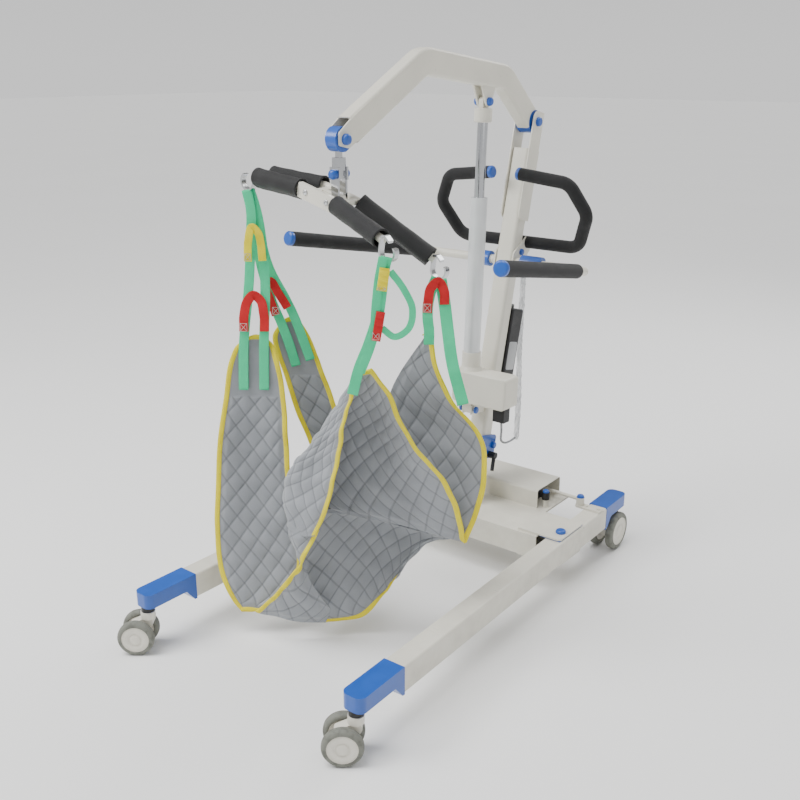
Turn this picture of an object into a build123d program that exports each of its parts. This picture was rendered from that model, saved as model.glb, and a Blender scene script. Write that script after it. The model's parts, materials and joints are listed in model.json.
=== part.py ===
from build123d import *
import math
import os

# Patient lift hoist. Units: millimetres. +Z up, the boom and the legs reach towards -Y,
# the mast stands at the rear, and z = 0 is the floor.

os.makedirs("parts", exist_ok=True)

# ---------------------------------------------------------------- driving dimensions
slide_gap = 0.3            # flat clearance between pieces that move on each other
fit_gap = 0.05             # radial clearance of a running fit

# legs and base
leg_width, leg_height, leg_wall = 60.0, 73.4, 2.5
leg_bottom = 100.3
leg_splay = 0.93           # degrees that each leg turns outwards at rest
leg_pivot = (352.5, 330.0)
leg_back, leg_front = 254.8, 832.8      # from the pivot to the ends of the leg tube
bracket_front_length, bracket_back_length = 165.0, 150.0
bracket_width, bracket_bottom = 62.0, 134.0
cross_front, cross_back, cross_half = 274.0, 386.0, 300.0
cross_bottom, cross_top, cross_wall = 100.0, 174.0, 3.0
liner_thick, plate_thick = 3.0, 5.0
pivot_bolt_r = 8.0

# casters: wheel radius, trail, stem position from the leg pivot, heading in degrees
front_caster = {"radius": 50.0, "trail": 30.0, "stem": -979.0, "heading": -52.4, "top": 117.0, "collar": 20.0}
rear_caster = {"radius": 62.5, "trail": 34.0, "stem": 377.0, "heading": 0.0, "top": 118.0, "collar": 16.0}
wheel_width, wheel_outer_x, hood_half = 26.0, 43.0, 14.5
axle_r, stem_r = 5.0, 6.0

# leg spreading linkage
crank_pivot = (0.0, 511.0)
crank_r, crank_rest = 45.0, -20.0       # pin circle and the rest angle of the crank
crank_z, crank_thick, crank_pin_r, crank_end_r = 184.0, 8.0, 5.0, 11.0
shelf_z, shelf_thick = 168.0, 6.0
arm_end = (302.0, 549.0)                # where a tie rod meets its leg arm
rod_z = 199.0
cover_half, cover_front, cover_back, cover_top, cover_sheet = 200.0, 451.0, 598.0, 235.0, 2.0
spread_anchor = (216.0, 477.0)
spread_z = 213.0

# mast
mast_foot = (0.0, 408.0, 365.0)
mast_lean = 13.6                        # degrees from vertical, towards the rear
mast_width, mast_depth, mast_wall = 60.0, 52.0, 3.0
mast_low, mast_top = -28.0, 930.0       # along the mast from its foot
head_low, head_top, head_sheet = 715.0, 1044.0, 3.5
knuckle_low, knuckle_top, knuckle_depth = -45.0, 32.0, 92.0

# boom
boom_pivot = (641.0, 1351.0)            # y, z
boom_path = [(-248.0, 1349.0), (85.0, 1527.0), (481.0, 1482.0), (641.0, 1351.0)]
boom_height, boom_width, boom_wall, boom_bend = 70.0, 44.0, 3.0, 75.0
roller_pivot = (-248.0, 1349.0)
roller_r, roller_half = 30.0, 16.7
clevis_pivot = (386.0, 1417.0)

# lift actuator
lift_pivot = (347.0, 498.0)
lift_tube_r, lift_rod_r, lift_collar_r = 25.0, 15.0, 29.0

# handles
bar_y, bar_z, bar_half, bar_tube_r = 541.0, 935.0, 285.0, 13.5
grip_end = (353.0, -58.0, 1048.0)
grip_r, push_r, push_core_r = 21.0, 19.0, 12.0
push_path = [(53.0, 516.0, 1206.0), (212.0, 526.0, 1188.0), (262.0, 556.0, 1097.0), (212.0, 607.0, 988.0)]

# hanger, spreader and sling
yoke_pin_z, link_pin_z = 1267.0, 1206.0
spreader_tilt = 16.0                    # degrees, the leg side (-X) stands higher
bar_gap, bar_r, pad_r = 42.0, 10.0, 23.5
bar_bends, bar_ties, bar_bend_r = (-88.0, 24.0), (-58.0, 24.0), 60.0
leg_end = (258.0, 28.0, 32.0)           # reach, half spacing, drop of the leg-side bar ends
shoulder_ends = {-1: (228.0, 105.0, 0.0), 1: (238.0, 112.0, 78.0)}    # the same on the shoulder side
hook_r, hook_strip, hook_width = 24.0, 5.0, 16.0
sling_across = 37.6                     # degrees between +X and the sling's own width
sling_cloth = 10.0

SIDES = (("left", -1), ("right", 1))


# ---------------------------------------------------------------- helpers
def save(name, *solids):
    shape = solids[0] if len(solids) == 1 else Compound(children=list(solids))
    export_step(shape, "parts/" + name + ".step")


def block(x0, x1, y0, y1, z0, z1):
    return Pos((x0 + x1) / 2, (y0 + y1) / 2, (z0 + z1) / 2) * Box(x1 - x0, y1 - y0, z1 - z0)


def upright(x, y, z0, z1, radius):
    return Pos(x, y, (z0 + z1) / 2) * Cylinder(radius, z1 - z0)


def crosswise(x0, x1, y, z, radius):
    return Pos((x0 + x1) / 2, y, z) * Rot(0, 90, 0) * Cylinder(radius, x1 - x0)


def dome(radius, height):
    """A bolt cap that stands on the XY plane: a short drum with a rounded top."""
    drum = Pos(0, 0, height / 2) * Cylinder(radius, height)
    return fillet(drum.edges().group_by(Axis.Z)[-1], height * 0.55)


def side_dome(x, y, z, radius, height, side):
    return Pos(x, y, z) * Rot(0, 90 * side, 0) * dome(radius, height)


def side_profile(points, x0, x1, rounding=0.0):
    """A plate cut from (y, z) points and given its thickness along X."""
    face = make_face(Polyline(*[(0, y, z) for y, z in points], close=True))
    if rounding:
        face = fillet(face.vertices(), rounding)
    return Pos(x0, 0, 0) * extrude(face, amount=x1 - x0, dir=(1, 0, 0))


def side_hull(rounds, x0, x1):
    """A plate along X whose outline is stretched round circles given as (y, z, radius)."""
    edges = [edge for y, z, radius in rounds for edge in (Pos(y, z, 0) * Circle(radius)).edges()]
    place = Plane(origin=(x0, 0, 0), x_dir=(0, 1, 0), z_dir=(1, 0, 0))
    return extrude(place * make_hull(edges), amount=x1 - x0)


def rod_between(start, end, radius):
    axis = Vector(*end) - Vector(*start)
    return Plane(origin=start, z_dir=axis) * Pos(0, 0, axis.length / 2) * Cylinder(radius, axis.length)


def tube_along(points, bend, outer, inner=0.0):
    path = FilletPolyline(*points, radius=bend)
    place = Plane(origin=path @ 0, z_dir=path % 0)
    tube = sweep(place * Circle(outer), path=path)
    if inner:
        tube -= sweep(place * Circle(inner), path=path)
    return tube


def on_mast(shape):
    """Places a shape drawn about the mast's foot, with local Z along the mast."""
    place = Plane(origin=mast_foot, x_dir=(1, 0, 0), z_dir=(0, math.sin(math.radians(mast_lean)),
                                                           math.cos(math.radians(mast_lean))))
    return place * shape


def on_leg(shape, side):
    """Places a shape drawn along Y about the leg pivot on the left or the right leg."""
    return Pos(side * leg_pivot[0], leg_pivot[1], 0) * Rot(0, 0, side * leg_splay) * shape


def rectangle_tube(width, depth, wall, z0, z1, corner):
    outer = extrude(RectangleRounded(width, depth, corner), amount=z1 - z0)
    inner = extrude(RectangleRounded(width - 2 * wall, depth - 2 * wall, corner - wall / 2), amount=z1 - z0)
    return Pos(0, 0, z0) * (outer - inner)


# ---------------------------------------------------------------- legs
leg_top = leg_bottom + leg_height


def leg_tube(side):
    middle = (leg_back - leg_front) / 2
    outer = Pos(0, middle, leg_bottom + leg_height / 2) * Rot(90, 0, 0) * extrude(
        RectangleRounded(leg_width, leg_height, 7), amount=(leg_back + leg_front) / 2, both=True)
    inner = Pos(0, middle, leg_bottom + leg_height / 2) * Rot(90, 0, 0) * extrude(
        RectangleRounded(leg_width - 2 * leg_wall, leg_height - 2 * leg_wall, 5),
        amount=(leg_back + leg_front) / 2, both=True)
    tube = outer - inner - upright(0, 0, 80, 200, pivot_bolt_r + fit_gap)
    return on_leg(tube, side)


def end_bracket(side, forward, length):
    """A bracket that closes a leg tube and carries its caster: a deep root, then a thin nose."""
    root = leg_front if forward else leg_back
    way = -1 if forward else 1
    top = leg_top + 1.3
    outline = [(0, leg_bottom - 1.3), (8, leg_bottom - 1.3), (36, bracket_bottom), (length, bracket_bottom),
               (length, top), (0, top)]
    body = side_profile([(way * (root + u), z) for u, z in outline], -bracket_width / 2, bracket_width / 2)
    nose = body.edges().filter_by(Axis.Z).sort_by(lambda e: way * e.center().Y)[-2:]
    body = fillet(nose, 20)
    plug_width, plug_height = leg_width - 2 * leg_wall - 1, leg_height - 2 * leg_wall - 1
    plug = Pos(0, way * (root - 25), leg_bottom + leg_height / 2) * Box(plug_width, 50, plug_height)
    plug = fillet(plug.edges().filter_by(Axis.Y), 6)
    return on_leg(body + plug, side)


def caster_place(side, caster):
    spot = on_leg(Pos(0, caster["stem"], 0), side)
    return Pos(spot.position.X, spot.position.Y, 0) * Rot(0, 0, caster["heading"])


def caster_stem(side, caster):
    """The neck under the bracket with the spigot that the caster swivels on."""
    top, low = bracket_bottom, caster["top"]
    neck = upright(0, 0, low, top, 17)
    return caster_place(side, caster) * (neck + upright(0, 0, low - 24, low, stem_r))


def caster_hood(side, caster):
    """The body between the two wheels, with a collar that turns on the spigot."""
    r, trail = caster["radius"], caster["trail"]
    top = caster["top"] - slide_gap
    collar = upright(0, 0, top - 20, top, caster["collar"])
    rounds = [(-trail, r, 0.46 * r), (0, top - 30, 15), (-trail - 0.25 * r, 1.45 * r, 10)]
    body = side_hull(rounds, -hood_half, hood_half)
    bore = crosswise(-30, 30, -trail, r, axle_r + fit_gap) + upright(0, 0, top - 26, top + 1, stem_r + fit_gap)
    return caster_place(side, caster) * (collar + body - bore)


def caster_wheels(side, caster):
    """Two tyres on two hubs, joined by the axle."""
    r, trail = caster["radius"], caster["trail"]
    pieces = [crosswise(-wheel_outer_x + 2, wheel_outer_x - 2, 0, 0, axle_r)]
    for way in (-1, 1):
        centre = way * (wheel_outer_x - wheel_width / 2)
        tyre = Pos(centre, 0, 0) * Rot(0, 90, 0) * Cylinder(r, wheel_width)
        tyre = fillet(tyre.edges(), 7)
        tyre -= Pos(centre, 0, 0) * Rot(0, 90, 0) * Cylinder(0.74 * r, wheel_width + 2)
        hub = Pos(centre, 0, 0) * Rot(0, 90, 0) * Cylinder(0.74 * r, wheel_width - 4)
        hub -= Pos(centre, 0, 0) * Rot(0, 90, 0) * Cylinder(axle_r, wheel_width)
        pieces += [tyre, hub]
    return [caster_place(side, caster) * Pos(0, -trail, r) * piece for piece in pieces]


def leg_arm(side):
    """The flat bar on the leg's top that the tie rod pushes, with its two screws."""
    dx, dy = arm_end[0] - leg_pivot[0], arm_end[1] - leg_pivot[1]
    bar = upright(dx, dy, leg_top, leg_top + 6, 15) + block(dx, 24, dy - 15, dy + 15, leg_top, leg_top + 6)
    screws = [upright(x, dy, leg_top + 6, leg_top + 10, 6) for x in (14, -28)]
    pieces = [bar] + screws
    return [Pos(side * leg_pivot[0], leg_pivot[1], 0) * (piece if side > 0 else mirror(piece, Plane.YZ))
            for piece in pieces]


for name, side in SIDES:
    save("leg_" + name, leg_tube(side))
    save("front_bracket_" + name, end_bracket(side, True, bracket_front_length))
    save("rear_bracket_" + name, end_bracket(side, False, bracket_back_length))
    save("leg_arm_" + name, *leg_arm(side))
    save("caster_stems_" + name, caster_stem(side, front_caster), caster_stem(side, rear_caster))
    for place, caster in (("front", front_caster), ("rear", rear_caster)):
        save("caster_hood_" + place + "_" + name, caster_hood(side, caster))
        save("caster_wheels_" + place + "_" + name, *caster_wheels(side, caster))


# ---------------------------------------------------------------- base frame
def pivot_plate(side, z0, z1):
    """A rounded plate that reaches over or under the leg."""
    x0, x1, y0, y1 = 232, 376, 283, 429
    plate = block(x0, x1, y0, y1, z0, z1)
    plate = fillet(plate.edges().filter_by(Axis.Z).group_by(Axis.X)[-1], 12)
    return plate if side > 0 else mirror(plate, Plane.YZ)


def base_frame():
    plate_low = cross_bottom - liner_thick - plate_thick
    plate_high = cross_top + liner_thick + plate_thick
    depth, height = cross_back - cross_front, cross_top - cross_bottom
    beam = block(-cross_half, cross_half, cross_front, cross_back, cross_bottom, cross_top)
    beam -= Pos(0, (cross_front + cross_back) / 2, (cross_bottom + cross_top) / 2) * Box(
        2 * cross_half + 2, depth - 2 * cross_wall, height - 2 * cross_wall)
    frame = beam
    for name, side in SIDES:
        for z0, z1, w0, w1 in ((plate_low, plate_low + plate_thick, plate_low, cross_bottom),
                               (plate_high - plate_thick, plate_high, cross_top, plate_high)):
            spacer = block(232, cross_half, 283, cross_back, w0, w1)
            frame += pivot_plate(side, z0, z1) + (spacer if side > 0 else mirror(spacer, Plane.YZ))
        frame -= upright(side * leg_pivot[0], leg_pivot[1], 80, 200, pivot_bolt_r)
    shelf = block(-205, 235, cross_back - 20, cover_back, shelf_z, shelf_z + shelf_thick)
    stud = upright(*crank_pivot, shelf_z, crank_z + crank_thick + 6, 8)
    stud += upright(*crank_pivot, shelf_z, crank_z - slide_gap, 14)
    post = on_mast(rectangle_tube(mast_width, mast_depth, mast_wall, -230, mast_low - 1, 11))
    post -= block(-100, 100, 200, 500, 0, cross_top - cross_wall)
    anchor = upright(*spread_anchor, shelf_z, spread_z - 12, 9)
    return frame + shelf + stud + post + anchor


def leg_liners():
    strips = []
    for name, side in SIDES:
        for z in (cross_bottom - liner_thick, cross_top):
            strip = block(304, 374, 285, 427, z, z + liner_thick)
            strip -= upright(leg_pivot[0], leg_pivot[1], 80, 200, pivot_bolt_r)
            strips.append(strip if side > 0 else mirror(strip, Plane.YZ))
    return strips


def frame_bolts():
    """The steel bolts held by the base and the mast."""
    bolts = [upright(side * leg_pivot[0], leg_pivot[1], 88, 182, pivot_bolt_r) for name, side in SIDES]
    bolts += [on_mast(crosswise(-35, 35, y, -2, 6)) for y in (-33, 33)]
    bolts.append(crosswise(-33.5, 33.5, *boom_pivot, 9))
    bolts.append(crosswise(-24, 24, *lift_pivot, 6))
    return bolts


def base_bolt_caps():
    """The plastic caps that cover the bolts held by the base and the mast."""
    caps = [Pos(side * leg_pivot[0], leg_pivot[1], 182) * dome(15.5, 10) for name, side in SIDES]
    caps.append(Pos(*spread_anchor, spread_z + 12) * dome(10, 8))
    for name, side in SIDES:
        caps += [on_mast(side_dome(35 * side, y, -2, 11, 9, side)) for y in (-33, 33)]
        caps.append(side_dome(33.5 * side, *boom_pivot, 14, 10, side))
        caps.append(side_dome(24 * side, *lift_pivot, 11, 8, side))
        caps.append(on_mast(side_dome(34.2 * side, 16, 618, 10, 8, side)))
    return caps


def mechanism_cover():
    outer = block(-cover_half, cover_half, cover_front, cover_back, shelf_z + shelf_thick, cover_top)
    outer = fillet(outer.edges().filter_by(Axis.X).group_by(Axis.Z)[-1], 9)
    inner = block(-cover_half - 1, cover_half + 1, cover_front + cover_sheet, cover_back - cover_sheet,
                  shelf_z, cover_top - cover_sheet)
    inner = fillet(inner.edges().filter_by(Axis.X).group_by(Axis.Z)[-1], 7)
    return outer - inner


save("base_frame", base_frame())
save("leg_liners", *leg_liners())
save("frame_bolts", *frame_bolts())
save("base_bolt_caps", *base_bolt_caps())
save("mechanism_cover", mechanism_cover())


# ---------------------------------------------------------------- leg spreading linkage
def crank_point(way):
    """The rest place of a crank pin: way is +1 for the rear pin and -1 for the front pin."""
    angle = math.radians(crank_rest)
    return (crank_pivot[0] - way * crank_r * math.sin(angle), crank_pivot[1] + way * crank_r * math.cos(angle))


def spread_crank():
    """A two-ended crank plate with an upright pin at each end."""
    plate = upright(*crank_pivot, crank_z, crank_z + crank_thick, 20)
    bar = Rot(0, 0, crank_rest) * block(-crank_end_r, crank_end_r, -crank_r, crank_r, crank_z,
                                        crank_z + crank_thick)
    plate += Pos(crank_pivot[0], crank_pivot[1], 0) * bar
    for way, top in ((1, rod_z + 9), (-1, spread_z + 10)):
        plate += upright(*crank_point(way), crank_z, crank_z + crank_thick, crank_end_r)
        plate += upright(*crank_point(way), crank_z, top, crank_pin_r)
    return plate - upright(*crank_pivot, crank_z - 1, crank_z + crank_thick + 1, 8 + fit_gap)


def tie_rod(side):
    """A rod with an eye on the crank pin and a capped ball joint that lies over the leg arm."""
    inner = crank_point(side)
    outer = (side * arm_end[0], arm_end[1])
    low, high = crank_z + crank_thick + slide_gap, rod_z + 5
    rod = rod_between((*inner, rod_z), (*outer, rod_z), 6)
    rod += upright(*inner, low, high, 12) + upright(*outer, leg_top + 6 + slide_gap, rod_z + 7, 13)
    rod += Pos(*outer, rod_z + 7) * dome(11, 8)
    clear = upright(*inner, low - 1, high + 5, crank_pin_r + fit_gap)
    return rod - clear - upright(*inner, high, high + 9, 12.5)


def spread_actuator():
    """The motor body on its anchor and the rod whose slotted eye holds the crank's front pin."""
    start, end = spread_anchor, crank_point(-1)
    angle = math.degrees(math.atan2(end[1] - start[1], end[0] - start[0]))
    place = Pos(start[0], start[1], spread_z) * Rot(0, 0, angle)
    body = block(22, 158, -16, 16, -14, 14) + block(0, 24, -7, 7, -7, 7)
    body = body + upright(0, 0, -12, 12, 12)
    body -= block(100, 159, -9 - fit_gap, 9 + fit_gap, -9 - fit_gap, 9 + fit_gap)
    length = math.dist(start, end)
    rod = block(140, length - 8, -9, 9, -5, 5) + block(length - 12, length + 12, -15, 15, -5, 5)
    rod -= block(length - crank_pin_r - 2, length + crank_pin_r + 2, -11, 11, -9, 9)
    return place * body, place * rod


save("spread_crank", spread_crank())
for name, side in SIDES:
    save("tie_rod_" + name, tie_rod(side))
motor_body, motor_rod = spread_actuator()
save("spread_actuator_body", motor_body)
save("spread_actuator_rod", motor_rod)


# ---------------------------------------------------------------- mast
bar_hole = crosswise(-60, 60, bar_y, bar_z, bar_tube_r)


def mast_knuckle():
    """The U-shaped clamp that joins the mast to the post: two cheeks and a rear web."""
    inner, outer = mast_width / 2, mast_width / 2 + 5
    cheeks = block(-outer, outer, -knuckle_depth / 2, knuckle_depth / 2, knuckle_low, knuckle_top)
    cheeks = fillet(cheeks.edges().filter_by(Axis.X), 12)
    gap = block(-inner, inner, -knuckle_depth / 2 - 1, knuckle_depth / 2 - 5, knuckle_low - 1, knuckle_top + 1)
    holes = [crosswise(-50, 50, y, -2, 6) for y in (-33, 33)] + [crosswise(20, 50, 18, -32, 4 + fit_gap)]
    return on_mast(cheeks - gap - holes)


def mast_tube():
    return on_mast(rectangle_tube(mast_width, mast_depth, mast_wall, mast_low, mast_top, 11)) - bar_hole


def mast_head():
    """The channel at the mast's top: two cheeks that hold the boom's pivot, and a rear web."""
    inner, outer = mast_width / 2, mast_width / 2 + head_sheet
    back, front = mast_depth / 2, -mast_depth / 2 - 6
    shell = block(-outer, outer, front, back + head_sheet, head_low, head_top)
    shell = fillet(shell.edges().filter_by(Axis.X).group_by(Axis.Y)[0], 24)
    shell -= block(-inner, inner, front - 1, back, head_low - 1, head_top + 1)
    shell -= block(-outer - 1, outer + 1, back, back + 10, mast_top, head_top + 1)
    return on_mast(shell) - crosswise(-50, 50, *boom_pivot, 9)


def clamp_lever():
    """A ratchet lever that tightens the knuckle: a stud, a hub and a hanging arm."""
    hub = crosswise(mast_width / 2 + 5 + 2 * slide_gap, 60, 18, -32, 11) + crosswise(30.5, 40, 18, -32, 4)
    arm = rod_between((54, 18, -32), (64, 2, -78), 6)
    return on_mast(hub + arm)


def control_box():
    box = block(-35, 35, mast_depth / 2, 92, 225, 440)
    return on_mast(fillet(box.edges(), 6))


def actuator_bracket():
    """Two ears welded to the mast's front that hold the lift actuator's lower bolt."""
    ears = []
    for x in (-17, 12.5):
        outline = [(334, 484), (360, 484), (422, 470), (432, 530), (360, 512), (334, 512)]
        ear = side_profile(outline, x, x + 4.5)
        ears.append(ear - crosswise(-50, 50, *lift_pivot, 6))
    block_out = on_mast(block(-29, 29, -mast_depth / 2, 100, 0, 300))
    return [ear - block_out for ear in ears]


save("mast_knuckle", mast_knuckle())
save("mast_tube", mast_tube())
save("mast_head", mast_head())
save("clamp_lever", clamp_lever())
save("control_box", control_box())
save("actuator_bracket", *actuator_bracket())


# ---------------------------------------------------------------- handles
bar_points = [(grip_end[0], grip_end[1], grip_end[2]), (bar_half, bar_y, bar_z),
              (-bar_half, bar_y, bar_z), (-grip_end[0], grip_end[1], grip_end[2])]
bar_bend = 60.0


def grip(side):
    start, end = Vector(side * grip_end[0], grip_end[1], grip_end[2]), Vector(side * bar_half, bar_y, bar_z)
    run = (end - start).normalized()
    foam = rod_between(start, start + run * 510, grip_r)
    return foam - rod_between(start, start + run * 520, bar_tube_r), run


def end_cap(place, way, radius):
    """A round cap on a handle's open end, facing away from the foam."""
    return Plane(origin=place, z_dir=way) * dome(radius, 12)


def mirrored_path(points):
    return points + [(-x, y, z) for x, y, z in reversed(points)]


def push_handle():
    """The D-shaped handle behind the mast: a steel core in a foam sleeve."""
    path = mirrored_path(push_path)
    foam = tube_along(path, 48, push_r, push_core_r)
    core = tube_along(path, 48, push_core_r)
    return foam, core


def handle_plates():
    plates = []
    for x in (-34.2, 30):
        plate = side_profile([(-26, 562), (16, 562), (68, 628), (68, 668), (34, 668), (-26, 612)], x, x + 4.2, 8)
        plate = on_mast(plate) - crosswise(-60, 60, bar_y, bar_z, bar_tube_r)
        plates.append(plate - crosswise(-60, 60, push_path[-1][1], push_path[-1][2], push_r))
    return plates


def bar_sleeves():
    return [crosswise(side * 92 - 35, side * 92 + 35, bar_y, bar_z, 24)
            - crosswise(side * 92 - 36, side * 92 + 36, bar_y, bar_z, bar_tube_r) for name, side in SIDES]


save("handlebar_tube", tube_along(bar_points, bar_bend, bar_tube_r, bar_tube_r - 2))
grips, caps = [], []
for name, side in SIDES:
    foam, run = grip(side)
    grips.append(foam)
    caps.append(end_cap((side * grip_end[0], grip_end[1], grip_end[2]), -run, grip_r))
    first, second = Vector(*push_path[0]), Vector(*push_path[1])
    way = first - second
    caps.append(end_cap((side * first.X, first.Y, first.Z), (side * way.X, way.Y, way.Z), push_r))
save("handlebar_grips", *grips)
save("handle_end_caps", *caps)
save("handlebar_sleeves", *bar_sleeves())
save("handlebar_plates", *handle_plates())
push_foam, push_core = push_handle()
save("push_handle_foam", push_foam)
save("push_handle_tube", push_core)


# ---------------------------------------------------------------- lift actuator
lift_run = Vector(0, clevis_pivot[0] - lift_pivot[0], clevis_pivot[1] - lift_pivot[1])
lift_place = Plane(origin=(0, *lift_pivot), x_dir=(1, 0, 0), z_dir=lift_run)


def motor_housing():
    """The gearbox and motor at the actuator's foot, with its tongue and its cable socket."""
    body = block(-42, 150, -40, 40, 28, 128)
    body = fillet(body.edges().filter_by(Axis.Y), 14)
    body = fillet(body.edges().group_by(Axis.Y)[0] + body.edges().group_by(Axis.Y)[-1], 6)
    tongue = block(-12.2, 12.2, -13, 13, 0, 30) + crosswise(-12.2, 12.2, 0, 0, 13)
    collar = Pos(0, 0, 128) * Cone(36, lift_collar_r, 12, align=(Align.CENTER, Align.CENTER, Align.MIN))
    collar += upright(0, 0, 138, 184, lift_collar_r)
    socket = block(98, 138, -16, 16, -16, 30)
    return lift_place * (body + tongue + collar + socket - crosswise(-50, 50, 0, 0, 6 + fit_gap))


def lift_tube():
    tube = upright(0, 0, 184, 650, lift_tube_r) - upright(0, 0, 190, 651, lift_rod_r + fit_gap)
    return lift_place * tube


def lift_rod():
    return lift_place * upright(0, 0, 400, 864, lift_rod_r)


def rod_end_cap():
    drum = upright(0, 0, 862, 902, 26)
    drum = fillet(drum.edges(), 4)
    tongue = block(-7.5, 7.5, -15, 15, 900, 920) + crosswise(-7.5, 7.5, 0, 920, 15)
    return lift_place * (drum - upright(0, 0, 850, 864, lift_rod_r) + tongue)


save("motor_housing", motor_housing())
save("actuator_tube", lift_tube())
save("actuator_rod", lift_rod())
save("rod_end_cap", rod_end_cap())


# ---------------------------------------------------------------- boom
def boom_bar(height, width, from_end, to_end):
    """The bent boom outline: a centreline with round bends, given its height and its width."""
    path = FilletPolyline(*[(0, y, z) for y, z in boom_path], radius=boom_bend)
    line = path.trim(from_end, to_end)
    place = Plane(origin=line @ 0, x_dir=(1, 0, 0), z_dir=line % 0)
    return sweep(place * RectangleRounded(width, height, 9), path=line)


def clevis_ears():
    """Two ears welded under the boom that hold the actuator's top bolt."""
    y, z = clevis_pivot
    rounds = [(y, z, 14), (y - 38, z + 58, 4), (y + 38, z + 54, 4)]
    ears = side_hull(rounds, -17, -11) + side_hull(rounds, 11, 17)
    return ears - crosswise(-60, 60, y, z, 8)


def boom_tube():
    solid = boom_bar(boom_height, boom_width, 0.042, 0.985)
    hollow = boom_bar(boom_height - 2 * boom_wall, boom_width - 2 * boom_wall, 0.042, 0.985)
    y, z = roller_pivot
    fork = [(y + 92, z + 84), (y + 28, z + 50), (y - 22, z + 16), (y - 22, z - 14), (y + 14, z - 22),
            (y + 124, z + 32)]
    cheeks = side_profile(fork, -22, -18, 8) + side_profile(fork, 18, 22, 8)
    tube = solid - hollow + cheeks
    tube -= crosswise(-60, 60, *boom_pivot, 34)
    ears = clevis_ears() - boom_bar(boom_height - 6, boom_width - 6, 0.3, 0.99)
    return tube + ears - crosswise(-60, 60, *roller_pivot, 7)


def boom_bush():
    return crosswise(-22.5, 22.5, *boom_pivot, 34) - crosswise(-30, 30, *boom_pivot, 9 + fit_gap)


def boom_bolts():
    """The roller's bolt and the two stub pins in the clevis ears."""
    stubs = [crosswise(side * 12.5 - 3.5, side * 12.5 + 3.5, *clevis_pivot, 8) for name, side in SIDES]
    return [crosswise(-26, 26, *roller_pivot, 7)] + stubs


def boom_caps():
    caps = []
    for name, side in SIDES:
        caps.append(side_dome(22 * side, *roller_pivot, 13.5, 13, side))
        caps.append(side_dome(17 * side, *clevis_pivot, 12, 12, side))
    hole = crosswise(-26, 26, *roller_pivot, 7)
    return [cap - hole for cap in caps]


save("boom_tube", boom_tube())
save("boom_bush", boom_bush())
save("boom_bolts", *boom_bolts())
save("boom_caps", *boom_caps())


# ---------------------------------------------------------------- hanger and spreader
hang_x, hang_y = 0.0, roller_pivot[0]


def hanger_roller():
    roller = crosswise(-roller_half, roller_half, *roller_pivot, roller_r)
    roller -= crosswise(-30, 30, *roller_pivot, 7 + fit_gap)
    return roller - upright(hang_x, hang_y, 1300, 1330, 9)


def hanger_stem():
    """The swivel stem screwed up into the roller, with its round nut."""
    return upright(hang_x, hang_y, 1292, 1330, 9) + upright(hang_x, hang_y, 1288, 1296, 13)


def hanger_yoke():
    """A forged fork that swivels under the stem: a round crown over two straps and two links."""
    crown = upright(hang_x, hang_y, 1276, 1306, 17) - upright(hang_x, hang_y, 1287.7, 1310, 13 + fit_gap)
    crown += upright(hang_x, hang_y, 1296.3, 1306, 17) - upright(hang_x, hang_y, 1290, 1310, 9 + fit_gap)
    straps = []
    for y in (-17.5, 11.5):
        strap = block(-15, 15, hang_y + y, hang_y + y + 6, yoke_pin_z - 14, 1284)
        link = block(-11, 11, hang_y + y, hang_y + y + 6, link_pin_z - 13, yoke_pin_z)
        straps += [strap, link]
    yoke = crown
    for strap in straps:
        yoke += strap
    yoke += block(-9, 9, hang_y - 12, hang_y + 12, yoke_pin_z - 5, yoke_pin_z + 12)
    yoke -= Pos(0, hang_y, link_pin_z) * Rot(90, 0, 0) * Cylinder(6 + fit_gap, 60)
    return yoke


def yoke_pin():
    """The ball-capped pin across the yoke."""
    caps = []
    for way in (-1, 1):
        ball = Pos(0, hang_y + way * 17.5, yoke_pin_z) * Rot(-90 * way, 0, 0) * dome(12, 14)
        caps.append(ball)
    return caps


def on_spreader(shape):
    return Pos(hang_x, hang_y, link_pin_z) * Rot(0, spreader_tilt, 0) * shape


def bar_ends(way):
    """The corner points of one spreader bar: way is -1 for the front bar and +1 for the rear bar."""
    reach, spacing, drop = shoulder_ends[way]
    return [(-leg_end[0], way * leg_end[1], -leg_end[2]), (bar_bends[0], way * bar_gap, 0),
            (bar_bends[1], way * bar_gap, 0), (reach, way * spacing, -drop)]


def spreader_bars():
    return tube_along(bar_ends(-1), bar_bend_r, bar_r) + tube_along(bar_ends(1), bar_bend_r, bar_r)


def spreader_frame():
    """Two bent bars joined by cross plates, a screwed front plate, and the lug on the link pin."""
    frame = spreader_bars()
    for x in bar_ties:
        frame += block(x - 7, x + 7, -bar_gap, bar_gap, -6, 6)
    front = block(bar_bends[0] - 2, bar_bends[1] + 4, -bar_gap - 14, -bar_gap - 4, -19, 19)
    frame += fillet(front.edges().filter_by(Axis.Y), 5)
    lug = block(bar_ties[0], bar_ties[1], -7, 7, -7, 7) + Rot(90, 0, 0) * Cylinder(13, 22)
    frame += lug + Rot(90, 0, 0) * Cylinder(6, 42)
    return on_spreader(frame)


def spreader_pads():
    """Four padded sleeves over the arms of the bars."""
    pads = []
    for way in (-1, 1):
        points = bar_ends(way)
        for outer, inner, reach in ((points[0], points[1], (0.07, 0.96)), (points[3], points[2], (0.07, 0.95))):
            outer, inner = Vector(*outer), Vector(*inner)
            run = inner - outer
            start, end = outer + run * reach[0], outer + run * reach[1]
            pads.append(rod_between(start, end, pad_r) - rod_between(outer, inner + run * 0.2, bar_r))
    return [on_spreader(pad) for pad in pads]


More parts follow.
